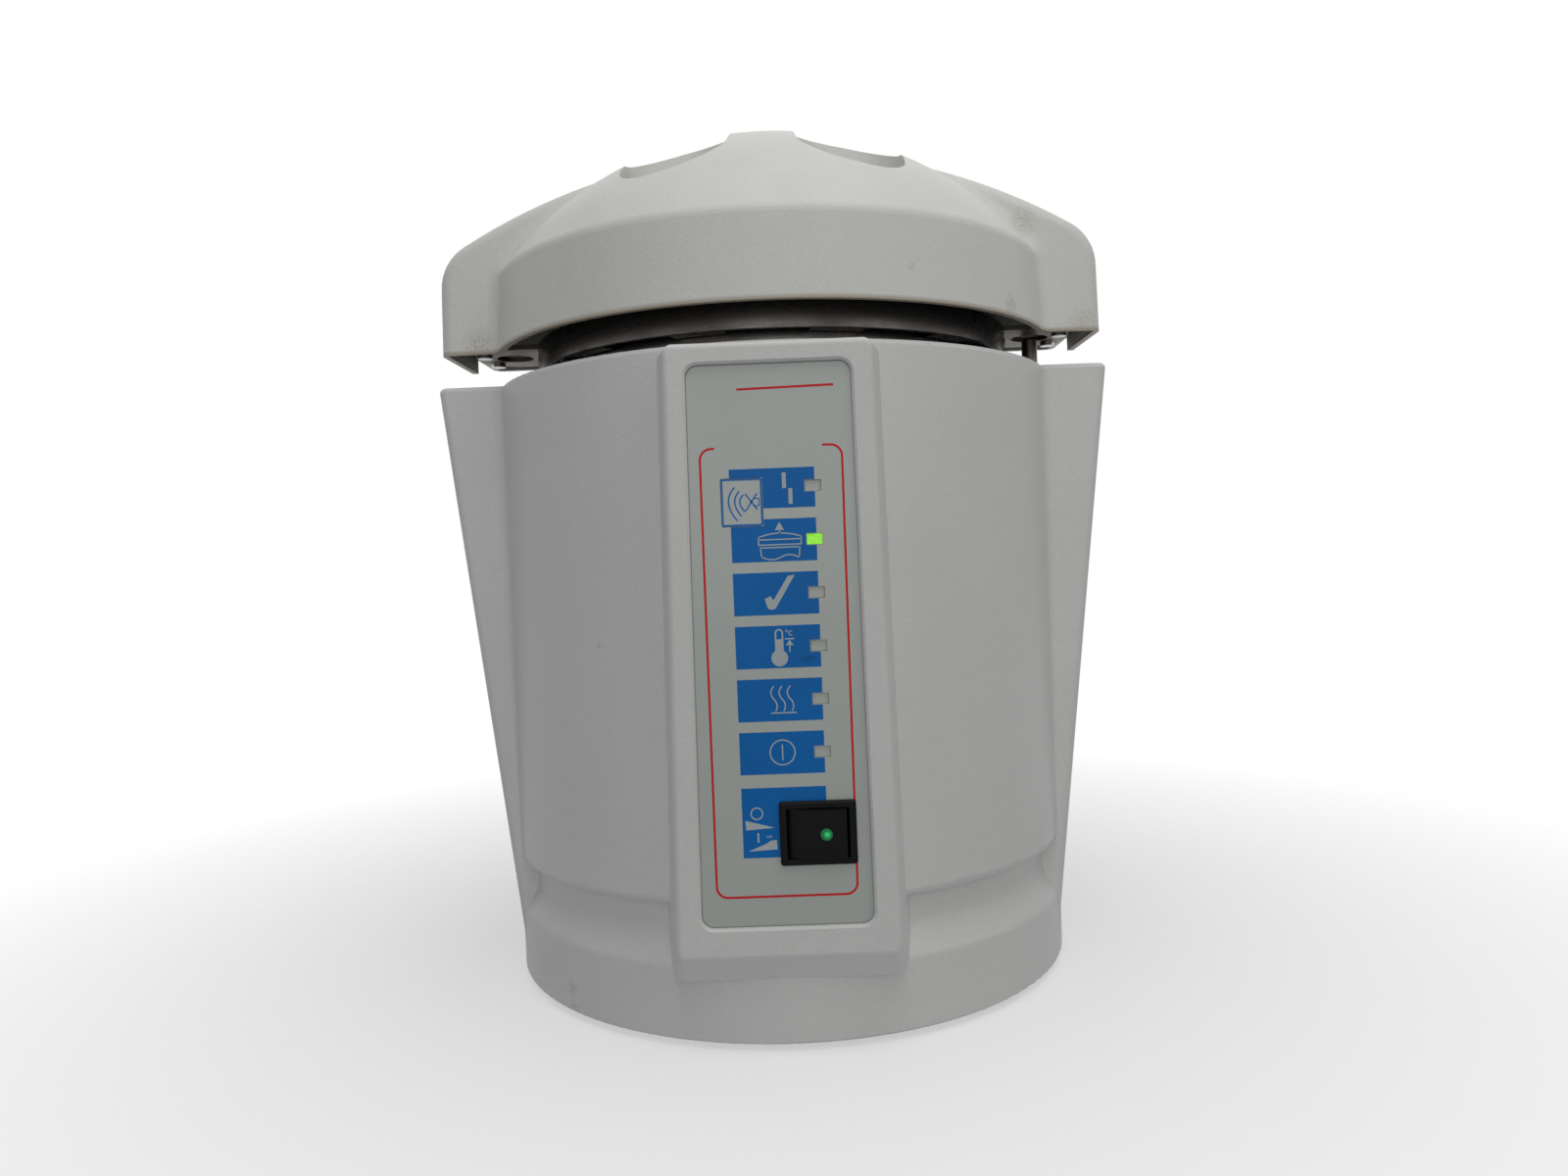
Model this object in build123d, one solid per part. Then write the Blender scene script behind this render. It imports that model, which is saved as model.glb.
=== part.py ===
from build123d import *
import os
from math import atan2, cos, radians, sin, sqrt, tan

# Stance and outer casing (millimetres; front is -Y, right is +X, the chamber's axis is Z)
foot_proud = 3.0
plinth_height = 31.0
plinth_inset = 0.5
plinth_ramp = 12.0
plinth_edge_round = 5.0
groove_round = 10.0
groove_height = 25.0
groove_depth = 7.0
casing_space = 35.0
drum_height = 231.0
drum_edge_round = 4.0
rim_round = 2.5
casing_wall = 3.0
deck_gap = 3.0

# Base wings under the lid's handles
wing_width = 101.4
wing_proud = 21.7
wing_foot_inset = 8.5
wing_foot_height = 17.0
wing_edge_round = 4.0
wing_cove_top = 8.0
wing_cove_foot = 1.0

# Front panel housing
panel_proud = 7.2
panel_buried = 23.3
panel_top_half = 41.2
panel_bottom_half = 45.0
panel_draft = 0.27
panel_top_drop = 1.9
panel_bottom_height = 39.5
panel_chin_slope = 1.53
panel_corner_round = 4.0
panel_chin_drop = 3.5
panel_boss_radius = 3.6
panel_screw_inset = 4.5
panel_edge_round = 2.5
panel_wall = 2.5
panel_window_inset = 7.2
panel_window_margin = 26.0
panel_screw_low_rise = 14.0
panel_screw_high_drop = 10.0
recess_top_side = 8.3
recess_bottom_side = 10.2
recess_top_inset = 8.6
recess_bottom_inset = 11.5
recess_depth = 3.2
recess_round = 5.0
recess_bevel = 1.0
label_thickness = 0.5
seat_gap = 0.3

# Indicator windows, lamps and control board
lamp_count = 6
lamp_lit = 1
lamp_x = 16.25
lamp_top_drop = 57.7
lamp_pitch = 21.3
window_width = 6.5
window_height = 4.5
window_recess = 0.9
board_width = 56.0
board_thickness = 1.6
board_gap = 5.5
contact_height = 3.0
board_low_rise = 69.5
board_high_drop = 26.1
board_screw_inset = 4.5
board_post_radius = 3.0
small_screw_radius = 1.3
small_head_radius = 2.6
small_head_height = 1.8
led_width = 5.0
led_height = 3.2
led_gap = 0.2
lens_tail = 0.4
relay_left = 24.0
relay_width = 20.0
relay_height = 26.0
relay_depth = 9.0
relay_rise = 10.0
processor_half = 8.0
processor_rise = 60.0
processor_height = 24.0
processor_depth = 3.0
capacitor_radius = 4.0
capacitor_depth = 8.0
capacitor_rise = 18.0
capacitor_places = (4.0, 14.0)
contact_half = 3.0

# Mute key
key_x = -12.25
key_drop = 63.5
key_width = 16.3
key_height = 18.8
key_thickness = 0.6
key_proud = 0.1
key_travel = 0.4
key_stem_radius = 3.0
key_clearance = 0.3
key_stop_gap = 0.1

# Power rocker switch
switch_x = 13.35
switch_rise = 48.9
switch_frame_width = 30.9
switch_frame_height = 25.8
switch_frame_proud = 2.0
switch_corner_round = 1.2
switch_frame_chamfer = 0.8
switch_body_width = 27.6
switch_body_height = 22.4
switch_body_depth = 20.0
rocker_half = 11.9
rocker_height = 19.6
rocker_tilt = 7.0
rocker_rise = 5.2
rocker_end_rise = 3.2
rocker_flat_half = 6.5
rocker_pivot_depth = 1.5
rocker_swing_radius = 12.3
rocker_gap = 0.35
rocker_pin_radius = 1.5
rocker_pin_wall = 0.6
rocker_pin_gap = 0.2
rocker_side_depth = 3.0
rocker_back_depth = 5.0
rocker_back_half = 3.0
running_clearance = 0.05
terminal_thickness = 0.8
terminal_width = 4.8
terminal_length = 4.5
terminal_spacing = 8.0
terminal_height = 5.0
lamp_lens_radius = 2.4
lamp_lens_offset = 3.9
lamp_lens_proud = 0.35
lamp_lens_depth = 3.5

# Pressure chamber, its neck ring and its insulation
chamber_radius = 105.0
chamber_wall = 2.0
chamber_depth = 232.0
chamber_bottom_round = 12.0
neck_rise = 14.0
neck_ring_wall = 2.5
neck_ring_height = 20.0
lug_count = 12
lug_arc = 12.0
lug_reach = 7.3
lug_thickness = 2.6
neck_seal_thickness = 2.5
jacket_thickness = 10.7
jacket_bottom_gap = 6.0
jacket_top_gap = 6.0

# Heater and sensors under the chamber
heater_tube_radius = 4.0
heater_ring_inset = 30.0
heater_sweep = 330.0
heater_leg = 26.0
heater_bend = 8.0
heater_leg_room = 1.0
heater_plate_inset = 13.0
heater_plate_thickness = 4.0
heater_plate_bore = 30.0
sensor_bar_width = 16.0
sensor_bar_thickness = 2.0
sensor_bar_overlap = 10.0
cutout_radius = 10.0
cutout_offset = 13.0
probe_radius = 4.0
post_count = 4
post_radius = 5.0
post_inset = 30.0

# Base plate, feet and underside screws
base_plate_thickness = 1.5
base_plate_recess = 3.0
base_plate_gap = 1.0
foot_radius = 13.0
foot_inset = 36.0
foot_count = 4
foot_well_radius = 5.5
foot_well_depth = 3.0
foot_edge_round = 1.5
foot_nut_radius = 3.6
foot_nut_height = 3.0
foot_thread_end = 4.0
base_screw_length = 14.0
screw_radius = 2.0
screw_head_radius = 3.8
screw_head_height = 2.0
boss_count = 6
boss_radius = 5.0
boss_inset = 11.5
boss_rib = 3.0
boss_height = 22.0
vent_count = 8
vent_width = 6.0
vent_inner = 34.0
vent_outer = 54.0

# Rear console, mains inlet and fuse drawer
console_half = 34.0
console_height = 84.0
console_proud = 4.7
console_round = 5.0
inlet_flange_thickness = 2.5
inlet_half_width = 17.0
inlet_rise = 14.0
inlet_height = 56.0
inlet_body_half = 14.0
inlet_body_rise = 9.0
inlet_body_drop = 8.5
inlet_body_depth = 20.0
inlet_round = 3.0
socket_width = 24.5
socket_height = 15.1
socket_depth = 17.0
socket_drop = 9.75
socket_round = 2.5
inlet_pin_width = 2.0
inlet_pin_height = 4.0
inlet_pin_spacing = 7.0
inlet_pin_drop = 4.0
inlet_tail = 4.0
inlet_pin_recess = 6.0
inlet_screw_z_inset = 4.5
inlet_screw_length = 8.0
drawer_width = 22.0
drawer_height = 9.0
drawer_rise = 9.0
drawer_depth = 17.0
drawer_wall = 1.5
drawer_front = 4.5
drawer_grip_width = 8.0
drawer_grip_height = 3.0
drawer_grip_depth = 1.0
fuse_radius = 2.5
fuse_length = 18.0

# Lid lock in the right-hand wing
lock_inset = 26.2
lock_pin_radius = 4.0
lock_pin_below = 30.0
lock_pin_gap = 0.5
lock_travel = 10.0
bush_radius = 6.0
bush_flange_radius = 9.2
bush_flange_thickness = 1.5
bush_length = 16.0
actuator_depth = 26.0
actuator_width = 30.0
actuator_height = 38.0
actuator_gap = 2.5
actuator_bore_depth = 12.0
actuator_bore_clearance = 1.0
actuator_ear = 2.0
lock_pin_tail = 8.0
lock_collar_rim = 2.0
lock_collar_height = 2.0
spring_wire = 0.6
spring_radius = 5.0
spring_turns = 5

# Lid cover and its handles
lid_gap = 15.6
cover_wall = 3.0
cover_overhang = 1.0
cover_draft = 2.5
cover_shoulder_round = 7.0
cap_radius = 171.5
cap_apex = 107.9
arm_inset = 2.2
arm_draft = 0.7
arm_end_round = 24.0
arm_top_radius = 290.0
arm_top = 92.6
arm_edge_round = 6.0
arm_crease_round = 8.0
pocket_x = 40.5
pocket_y = 65.0
pocket_half_x = 28.5
pocket_half_y = 46.0
pocket_round = 26.0
pocket_floor = 46.4
pocket_floor_round = 9.0
pocket_taper = 6.0
pocket_clear_height = 10.0
vent_slot_low = 80.0
vent_slot_height = 10.0
vent_slot_width = 24.0
vent_slot_shift = 4.5
vent_slot_inner = 14.0
vent_slot_outer = 10.0
grip_relief_inner = 128.0
grip_relief_side = 4.0

# Bridge strap, locking ring and pressure lid
strap_width = 48.0
strap_corner_round = 20.0
strap_end_gap = 1.5
strap_thickness = 2.5
strap_lift = 6.4
strap_joggle_inset = 3.0
strap_joggle_run = 12.0
strap_joggle_rise = 10.0
strap_eye_radius = 9.5
cover_boss_inset = 7.0
cover_boss_y = 13.0
cover_boss_radius = 5.0
cover_screw_length = 10.0
cover_bore_depth = 12.0
ring_gap = 1.2
ring_wall = 2.5
ring_flange_width = 13.5
claw_thickness = 2.2
claw_arc = 12.0
claw_inner_gap = 2.0
claw_clearance = 0.8
strap_screw_inset = 6.5
strap_screw_y = 12.0
lid_plate_thickness = 2.0
lid_plate_gap = 2.5
lid_dome_inset = 6.0
lid_dome_rise = 7.0
gasket_overhang = 3.0
gasket_thickness = 2.0
gasket_lip = 4.0
gasket_lip_width = 2.5
glide_thickness = 0.7
glide_gap = 0.2
glide_width = 5.5
spindle_radius = 6.0
spindle_height = 18.0
spindle_shoulder = 9.0
spindle_bush_outer = 9.0
spindle_nut_across = 19.0
spindle_nut_height = 6.0
spindle_washer = 1.5
spindle_washer_rim = 2.0

# Relief valve and air vent on the pressure lid
valve_circle = 60.0
valve_angle = -58.0
valve_seat_radius = 9.0
valve_seat_height = 12.0
valve_cap_radius = 8.0
valve_cap_height = 13.0
valve_stem_radius = 2.5
valve_bore_clearance = 0.3
valve_neck_inset = 2.0
valve_cap_round = 1.5
valve_travel = 3.0
air_vent_angle = 122.0
air_vent_body_radius = 7.0
air_vent_body_height = 10.0
air_vent_pin_radius = 2.5
air_vent_pin_head_radius = 4.0
air_vent_pin_head_height = 2.0
air_vent_travel = 3.0

# Instrument basket and its bail
basket_gap = 8.0
basket_wall = 1.2
basket_height = 198.0
basket_slots = 12
basket_slot_rows = 3
basket_slot_width = 26.0
basket_rail = 14.0
trivet_height = 8.0
trivet_gap = 11.0
trivet_plate = 2.0
trivet_stand_inset = 16.0
trivet_stand_wall = 3.0
hole_radius = 7.0
hole_circles = ((28.0, 0), (58.0, 30))
holes_round = 6
bail_wire = 2.0
bail_height = 24.0
bail_eye_drop = 8.0
bail_bend = 12.0
bail_gap = 4.3

# Radii and reaches worked out from the chamber
chamber_outer = chamber_radius + chamber_wall
neck_outer = chamber_outer + neck_ring_wall
ring_outer = neck_outer + lug_reach + ring_gap + ring_wall
deck_opening_radius = ring_outer + deck_gap
drum_radius = chamber_radius + casing_space
plinth_radius = drum_radius - plinth_inset
wing_reach = drum_radius + wing_proud
wing_foot_reach = drum_radius - wing_foot_inset
panel_reach = drum_radius + panel_proud
panel_inner = drum_radius - panel_buried
panel_window_half = panel_top_half - panel_window_inset
recess_top_half = panel_top_half - recess_top_side
recess_bottom_half = panel_bottom_half - recess_bottom_side
console_reach = drum_radius + console_proud
inlet_face = console_reach + inlet_flange_thickness
jacket_outer = chamber_outer + jacket_thickness
heater_ring_radius = chamber_radius - heater_ring_inset
heater_plate_radius = chamber_radius - heater_plate_inset
post_circle_radius = heater_plate_radius - post_inset
foot_circle = drum_radius - foot_inset
boss_circle = plinth_radius - boss_inset
lock_x = wing_reach - lock_inset
arm_reach = wing_reach - arm_inset
strap_reach = arm_reach - cover_wall - strap_end_gap
cover_boss_x = strap_reach - cover_boss_inset
cover_low_radius = drum_radius + cover_overhang
cover_shoulder_radius = cover_low_radius - cover_draft
ring_flange_inner = ring_outer - ring_flange_width
claw_inner = neck_outer + claw_inner_gap
strap_screw_x = ring_flange_inner + strap_screw_inset
strap_joggle_outer = ring_flange_inner - strap_joggle_inset
strap_joggle_inner = strap_joggle_outer - strap_joggle_run
lid_plate_radius = ring_outer - ring_wall - lid_plate_gap
lid_dome_radius = chamber_radius - lid_dome_inset
gasket_inner = chamber_radius - gasket_overhang
glide_inner = lid_plate_radius - glide_width
basket_radius = chamber_radius - basket_gap
trivet_radius = chamber_radius - trivet_gap

# Heights worked out from the sizes above
plinth_low = foot_proud
plinth_high = plinth_low + plinth_height
drum_low = plinth_high + groove_height
rim = drum_low + drum_height
cover_low = rim + lid_gap
neck_high = rim + neck_rise
chamber_floor = neck_high - chamber_depth
chamber_low = chamber_floor - chamber_wall
heater_centre = chamber_low - heater_tube_radius - seat_gap / 2
heater_plate_high = heater_centre - heater_tube_radius - seat_gap / 2
heater_plate_low = heater_plate_high - heater_plate_thickness
base_plate_low = plinth_low + base_plate_recess
base_plate_high = base_plate_low + base_plate_thickness
panel_high = rim - panel_top_drop
panel_low = plinth_low + panel_bottom_height
label_front = -panel_reach + recess_depth - label_thickness
recess_floor = -panel_reach + recess_depth
panel_back = recess_floor + panel_wall
lamp_top = panel_high - lamp_top_drop
key_z = panel_high - key_drop
switch_z = panel_low + switch_rise
board_low = panel_low + board_low_rise
board_high = panel_high - board_high_drop
board_front = panel_back + board_gap
board_back = board_front + board_thickness
console_low = plinth_high
console_high = console_low + console_height
inlet_low = console_low + inlet_rise
inlet_high = inlet_low + inlet_height
inlet_body_low = inlet_low + inlet_body_rise
inlet_body_high = inlet_high - inlet_body_drop
socket_z = inlet_body_high - socket_drop
drawer_z = inlet_body_low + drawer_rise
strap_low = cover_low + strap_lift
strap_high = strap_low + strap_thickness
ring_flange_low = strap_low - ring_wall
lug_low = neck_high - lug_thickness
claw_high = lug_low - claw_clearance
claw_low = claw_high - claw_thickness
gasket_low = neck_high + seat_gap
lid_plate_low = gasket_low + gasket_thickness
lid_plate_high = lid_plate_low + lid_plate_thickness
strap_bridge_low = strap_low + strap_joggle_rise
strap_bridge_high = strap_bridge_low + strap_thickness
lug_pitch = 360 / lug_count

CENTRED = (Align.CENTER, Align.CENTER, Align.MIN)


def cylinder(radius, low, high, x=0.0, y=0.0):
    """Upright cylinder between two heights."""
    return Pos(x, y, low) * Cylinder(radius, high - low, align=CENTRED)


def tube(inner, outer, low, high, x=0.0, y=0.0):
    """Upright tube between two heights."""
    return cylinder(outer, low, high, x, y) - cylinder(inner, low, high, x, y)


def block(x_low, x_high, y_low, y_high, z_low, z_high):
    """Box between two corners."""
    size = (x_high - x_low, y_high - y_low, z_high - z_low)
    return Pos(x_low, y_low, z_low) * Box(*size, align=(Align.MIN, Align.MIN, Align.MIN))


def rod(radius, y_low, y_high, x, z):
    """Cylinder along Y."""
    return Pos(x, y_high, z) * Rot(90, 0, 0) * Cylinder(radius, y_high - y_low, align=CENTRED)


def outline(corners):
    """Closed face through (a, b, radius) corners, sharp where the radius is zero."""
    count = len(corners)
    arcs = []
    for index in range(count):
        before = Vector(*corners[index - 1][:2])
        corner = Vector(*corners[index][:2])
        after = Vector(*corners[(index + 1) % count][:2])
        radius = corners[index][2]
        back = (before - corner).normalized()
        onward = (after - corner).normalized()
        half = radians(back.get_angle(onward)) / 2
        reach = radius / tan(half)
        middle = corner + (back + onward).normalized() * (radius / sin(half) - radius)
        arcs.append((corner + back * reach, middle, corner + onward * reach, radius))
    edges = []
    for index in range(count):
        start, middle, end, radius = arcs[index]
        if radius > 0:
            edges.append(ThreePointArc(start, middle, end))
        edges.append(Line(end, arcs[(index + 1) % count][0]))
    return make_face(edges)


def turned(corners):
    """Solid of revolution about Z from (radius, height, round) corners."""
    return revolve(Plane.XZ * outline(corners), Axis.Z)


def upright_plate(corners, y_low, y_high):
    """Plate across Y from (x, z, round) corners."""
    face = Plane((0, y_high, 0), x_dir=(1, 0, 0), z_dir=(0, -1, 0)) * outline(corners)
    return extrude(face, y_high - y_low)


def polar(radius, angle):
    """Plan position at an angle from +X."""
    return radius * cos(radians(angle)), radius * sin(radians(angle))


def sector(inner, outer, low, high, middle, arc):
    """Piece of an upright tube, arc degrees wide about a middle angle."""
    profile = Pos((inner + outer) / 2, (low + high) / 2) * Rectangle(outer - inner, high - low)
    slice_face = Plane.XZ * profile
    return Rot(0, 0, middle - arc / 2) * revolve(slice_face, Axis.Z, arc)


def mirrored_x(shape):
    """The shape and its mirror image in the YZ plane."""
    return [shape, mirror(shape, Plane.YZ)]


def pan_screw(low, length, x, y, head_up=True):
    """Upright screw whose head's seat is at the given height."""
    if head_up:
        head = cylinder(screw_head_radius, low, low + screw_head_height, x, y)
        return head + cylinder(screw_radius, low - length, low, x, y)
    head = cylinder(screw_head_radius, low - screw_head_height, low, x, y)
    return head + cylinder(screw_radius, low, low + length, x, y)


def save(node, shapes):
    """Write one node from a shape or a list of separate shapes."""
    if isinstance(shapes, list):
        shapes = Compound([solid for shape in shapes for solid in shape.solids()])
    export_step(shapes, f"parts/{node}.step")


def wing_x(height, inset=0.0):
    """Reach of a base wing's sloping side at a height."""
    slope = (wing_reach - wing_foot_reach) / (rim - plinth_low - wing_foot_height)
    return wing_reach - inset - slope * (rim - height)


def base_wings(inset=0.0):
    """Wedge through both base wings, smaller by an inset."""
    low = plinth_low + wing_foot_height
    high = rim - inset
    corners = [
        (-wing_x(low, inset), low, 0),
        (wing_x(low, inset), low, 0),
        (wing_x(high, inset), high, 0),
        (-wing_x(high, inset), high, 0),
    ]
    half = wing_width / 2 - inset
    wedge = upright_plate(corners, -half, half)
    if inset > 0:
        return wedge
    side_edges = wedge.edges().filter_by(lambda edge: abs(edge.tangent_at(0.5).Z) > 0.9)
    wedge = fillet(side_edges, wing_edge_round)
    return fillet(wedge.faces().sort_by(Axis.Z)[-1].edges(), rim_round)


def cove_section(height, radius):
    """Hollow corner between the drum and a wing's side at one height."""
    half = wing_width / 2
    centre_y = half + radius
    centre_x = sqrt((drum_radius + radius) ** 2 - centre_y**2)
    share = drum_radius / (drum_radius + radius)
    on_drum = Vector(centre_x * share, centre_y * share)
    on_wing = Vector(centre_x, half)
    centre = Vector(centre_x, centre_y)
    halfway = (on_drum - centre).normalized() + (on_wing - centre).normalized()
    middle = centre + halfway.normalized() * radius
    buried = Vector(centre_x * share - casing_wall / 2, half - casing_wall / 2)
    edges = [ThreePointArc(on_drum, middle, on_wing), Line(on_wing, buried), Line(buried, on_drum)]
    return Pos(0, 0, height) * make_face(edges)


def wing_coves():
    """Coves that soften the four corners between the drum and the wings."""
    low = drum_low + drum_edge_round
    high = rim - rim_round
    cove = loft([cove_section(low, wing_cove_foot), cove_section(high, wing_cove_top)])
    pair = [cove, mirror(cove, Plane.XZ)]
    return pair + [Rot(0, 0, 180) * piece for piece in pair]


def drum_body(inset=0.0):
    """Turned plinth, groove and drum, smaller by an inset."""
    groove = drum_radius - groove_depth - inset
    low = plinth_low if inset == 0 else plinth_low - 1
    high = rim - inset
    sharp = 0.0 if inset > 0 else 1.0
    return turned(
        [
            (0, low, 0),
            (plinth_radius - inset, low, sharp),
            (plinth_radius - inset, plinth_high - inset, plinth_edge_round * sharp),
            (groove, plinth_high + plinth_ramp - inset, groove_round * sharp),
            (groove, drum_low + inset, 2.0 * sharp),
            (drum_radius - inset, drum_low + inset, drum_edge_round * sharp),
            (drum_radius - inset, high, rim_round * sharp),
            (0, high, 0),
        ]
    )


def rear_console(inset=0.0):
    """Block behind the drum that carries the mains inlet."""
    half = console_half - inset
    reach = console_reach - inset
    body = block(-half, half, 0, reach, console_low + inset, console_high - inset)
    if inset > 0:
        return body
    return fillet(body.faces().sort_by(Axis.Y)[-1].edges(), console_round)


def base_casing():
    """White outer casing: drum, wings, plinth and rear console in one shell."""
    outer = drum_body() + base_wings() + rear_console() + wing_coves()
    hollow = drum_body(casing_wall) + base_wings(casing_wall) + rear_console(casing_wall)
    shell = outer - hollow
    shell -= cylinder(deck_opening_radius, rim - 2 * casing_wall, rim + 1)
    shell -= cylinder(bush_radius + running_clearance, rim - 2 * casing_wall, rim + 1, lock_x)
    shell -= block(
        -panel_window_half,
        panel_window_half,
        -panel_reach,
        -drum_radius / 2,
        panel_low + panel_window_margin,
        panel_high - panel_window_margin / 2,
    )
    for screw_x, screw_z in panel_screw_places():
        shell -= rod(screw_radius + running_clearance, -drum_radius, -drum_radius / 2, screw_x, screw_z)
    inlet_hole = block(-inlet_body_half, inlet_body_half, 0, inlet_face, inlet_body_low, inlet_body_high)
    shell -= inlet_hole
    for screw_z in inlet_screw_heights():
        shell -= rod(small_screw_radius + running_clearance, drum_radius / 2, inlet_face, 0, screw_z)
    boss_high = base_plate_high + boss_height
    for index in range(boss_count):
        angle = index * 360 / boss_count
        x, y = polar(boss_circle, angle)
        boss = cylinder(boss_radius, base_plate_high, boss_high, x, y)
        rib = block(boss_circle, plinth_radius - 1, -boss_rib / 2, boss_rib / 2, base_plate_high, boss_high)
        boss += Rot(0, 0, angle) * rib
        boss -= cylinder(screw_radius + running_clearance, base_plate_high, boss_high - 2, x, y)
        shell += boss
    return shell


def panel_block(inset=0.0):
    """Drafted block of the panel housing, smaller by an inset, reaching back into the drum."""
    depth = panel_reach - panel_inner
    front = -panel_reach + inset
    spread = panel_draft * (depth - inset)
    top = panel_high - inset
    low = panel_low + inset
    back_low = low - panel_chin_slope * (depth - inset)
    front_face = Plane((0, front, 0), x_dir=(1, 0, 0), z_dir=(0, 1, 0)) * outline(
        [
            (-panel_top_half + inset, -top, 0),
            (panel_top_half - inset, -top, 0),
            (panel_bottom_half - inset, -low, 0),
            (-panel_bottom_half + inset, -low, 0),
        ]
    )
    back_face = Plane((0, front + depth - inset, 0), x_dir=(1, 0, 0), z_dir=(0, 1, 0)) * outline(
        [
            (-panel_top_half + inset - spread, -top, 0),
            (panel_top_half - inset + spread, -top, 0),
            (panel_bottom_half - inset + spread, -back_low, 0),
            (-panel_bottom_half + inset - spread, -back_low, 0),
        ]
    )
    solid = loft([front_face, back_face])
    chin = plinth_high - panel_chin_drop + inset
    solid -= block(-drum_radius, drum_radius, -drum_radius - panel_reach, 0, -drum_radius, chin)
    if inset > 0:
        return solid
    long_edges = solid.edges().filter_by(lambda edge: abs(edge.tangent_at(0.5).Y) > 0.3)
    solid = fillet(long_edges, panel_corner_round)
    return fillet(solid.faces().sort_by(Axis.Y)[0].edges(), panel_edge_round)


def recess_plate(y_low, y_high, inset=0.0):
    """Rounded plate of the label recess's outline."""
    top = panel_high - recess_top_inset - inset
    low = panel_low + recess_bottom_inset + inset
    return upright_plate(
        [
            (-recess_bottom_half + inset, low, recess_round),
            (recess_bottom_half - inset, low, recess_round),
            (recess_top_half - inset, top, recess_round),
            (-recess_top_half + inset, top, recess_round),
        ],
        y_low,
        y_high,
    )


def panel_screw_places():
    """Positions of the screws that hold the panel housing to the drum."""
    side = panel_window_half + panel_screw_inset
    low = panel_low + panel_window_margin + panel_screw_low_rise
    high = panel_high - panel_window_margin - panel_screw_high_drop
    heights = (low, high)
    return [(x, z) for x in (-side, side) for z in heights]


def lamp_heights():
    """Heights of the indicator windows, from the top."""
    return [lamp_top - index * lamp_pitch for index in range(lamp_count)]


def front_openings(y_low, y_high):
    """Cutters for the windows, key stem and switch body in the panel."""
    cutters = []
    half_x = window_width / 2
    half_z = window_height / 2
    for height in lamp_heights():
        window = block(lamp_x - half_x, lamp_x + half_x, y_low, y_high, height - half_z, height + half_z)
        cutters.append(window)
    cutters.append(rod(key_stem_radius + key_clearance, y_low, y_high, key_x, key_z))
    half_x = switch_body_width / 2 + seat_gap
    half_z = switch_body_height / 2 + seat_gap
    cutters.append(
        block(switch_x - half_x, switch_x + half_x, y_low, y_high, switch_z - half_z, switch_z + half_z)
    )
    return cutters


def key_window(y_low, y_high, clearance=0.0):
    """Rounded block of the mute key's outline."""
    z = key_z
    half_x = key_width / 2 + clearance
    half_z = key_height / 2 + clearance
    corners = [
        (key_x - half_x, z - half_z, 1.0),
        (key_x + half_x, z - half_z, 1.0),
        (key_x + half_x, z + half_z, 1.0),
        (key_x - half_x, z + half_z, 1.0),
    ]
    return upright_plate(corners, y_low, y_high)


def board_screw_places():
    """Positions of the control board's posts and screws."""
    side = board_width / 2 - board_screw_inset
    heights = (board_low + board_screw_inset, board_high - board_screw_inset)
    return [(x, z) for x in (-side, side) for z in heights]


def panel_bezel():
    """White panel housing with its recess, windows and inner posts."""
    housing = panel_block() - panel_block(panel_wall)
    housing += recess_plate(recess_floor, panel_back, -panel_wall)
    housing -= recess_plate(-panel_reach - 1, recess_floor)
    face = housing.faces().sort_by(Axis.Y)[0]
    housing = chamfer(face.inner_wires()[0].edges(), recess_bevel)
    housing -= front_openings(recess_floor - 1, panel_back + 1)
    housing -= key_window(recess_floor - 1, key_back() + key_travel + key_stop_gap, key_clearance)
    for x, z in board_screw_places():
        post = rod(board_post_radius, panel_back - 0.5, board_front, x, z)
        housing += post
        housing -= rod(small_screw_radius, panel_back, board_front + 1, x, z)
    for x, z in panel_screw_places():
        housing += rod(panel_boss_radius, panel_back - 1.5, -panel_inner, x, z)
    housing -= drum_body()
    for x, z in panel_screw_places():
        housing -= rod(screw_radius, panel_back + 1, -panel_inner, x, z)
    return housing.solids().sort_by(SortBy.VOLUME)[-1]


def control_label():
    """Overlay in the recess."""
    plate = recess_plate(label_front, recess_floor, seat_gap)
    plate -= key_window(label_front - 1, recess_floor + 1, key_clearance)
    return plate - front_openings(label_front - 1, recess_floor + 1)


def window_lens(height):
    """Light guide between a lamp and the label's face."""
    half_x = window_width / 2 - seat_gap / 2
    half_z = window_height / 2 - seat_gap / 2
    back = panel_back + lens_tail
    front = label_front + window_recess
    return block(lamp_x - half_x, lamp_x + half_x, front, back, height - half_z, height + half_z)


def indicator_led(height):
    """Square lamp on the control board."""
    half_x = led_width / 2
    half_z = led_height / 2
    front = panel_back + lens_tail + led_gap
    return block(lamp_x - half_x, lamp_x + half_x, front, board_front, height - half_z, height + half_z)


def control_board():
    """Circuit board behind the panel."""
    half = board_width / 2
    board = block(-half, half, board_front, board_back, board_low, board_high)
    for x, z in board_screw_places():
        board -= rod(small_screw_radius + running_clearance, board_front - 1, board_back + 1, x, z)
    return board


def board_screws():
    """Screws that hold the board to the housing's posts."""
    screws = []
    for x, z in board_screw_places():
        head = rod(small_head_radius, board_back, board_back + small_head_height, x, z)
        screws.append(head + rod(small_screw_radius - running_clearance, panel_back + 1, board_back, x, z))
    return screws


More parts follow.
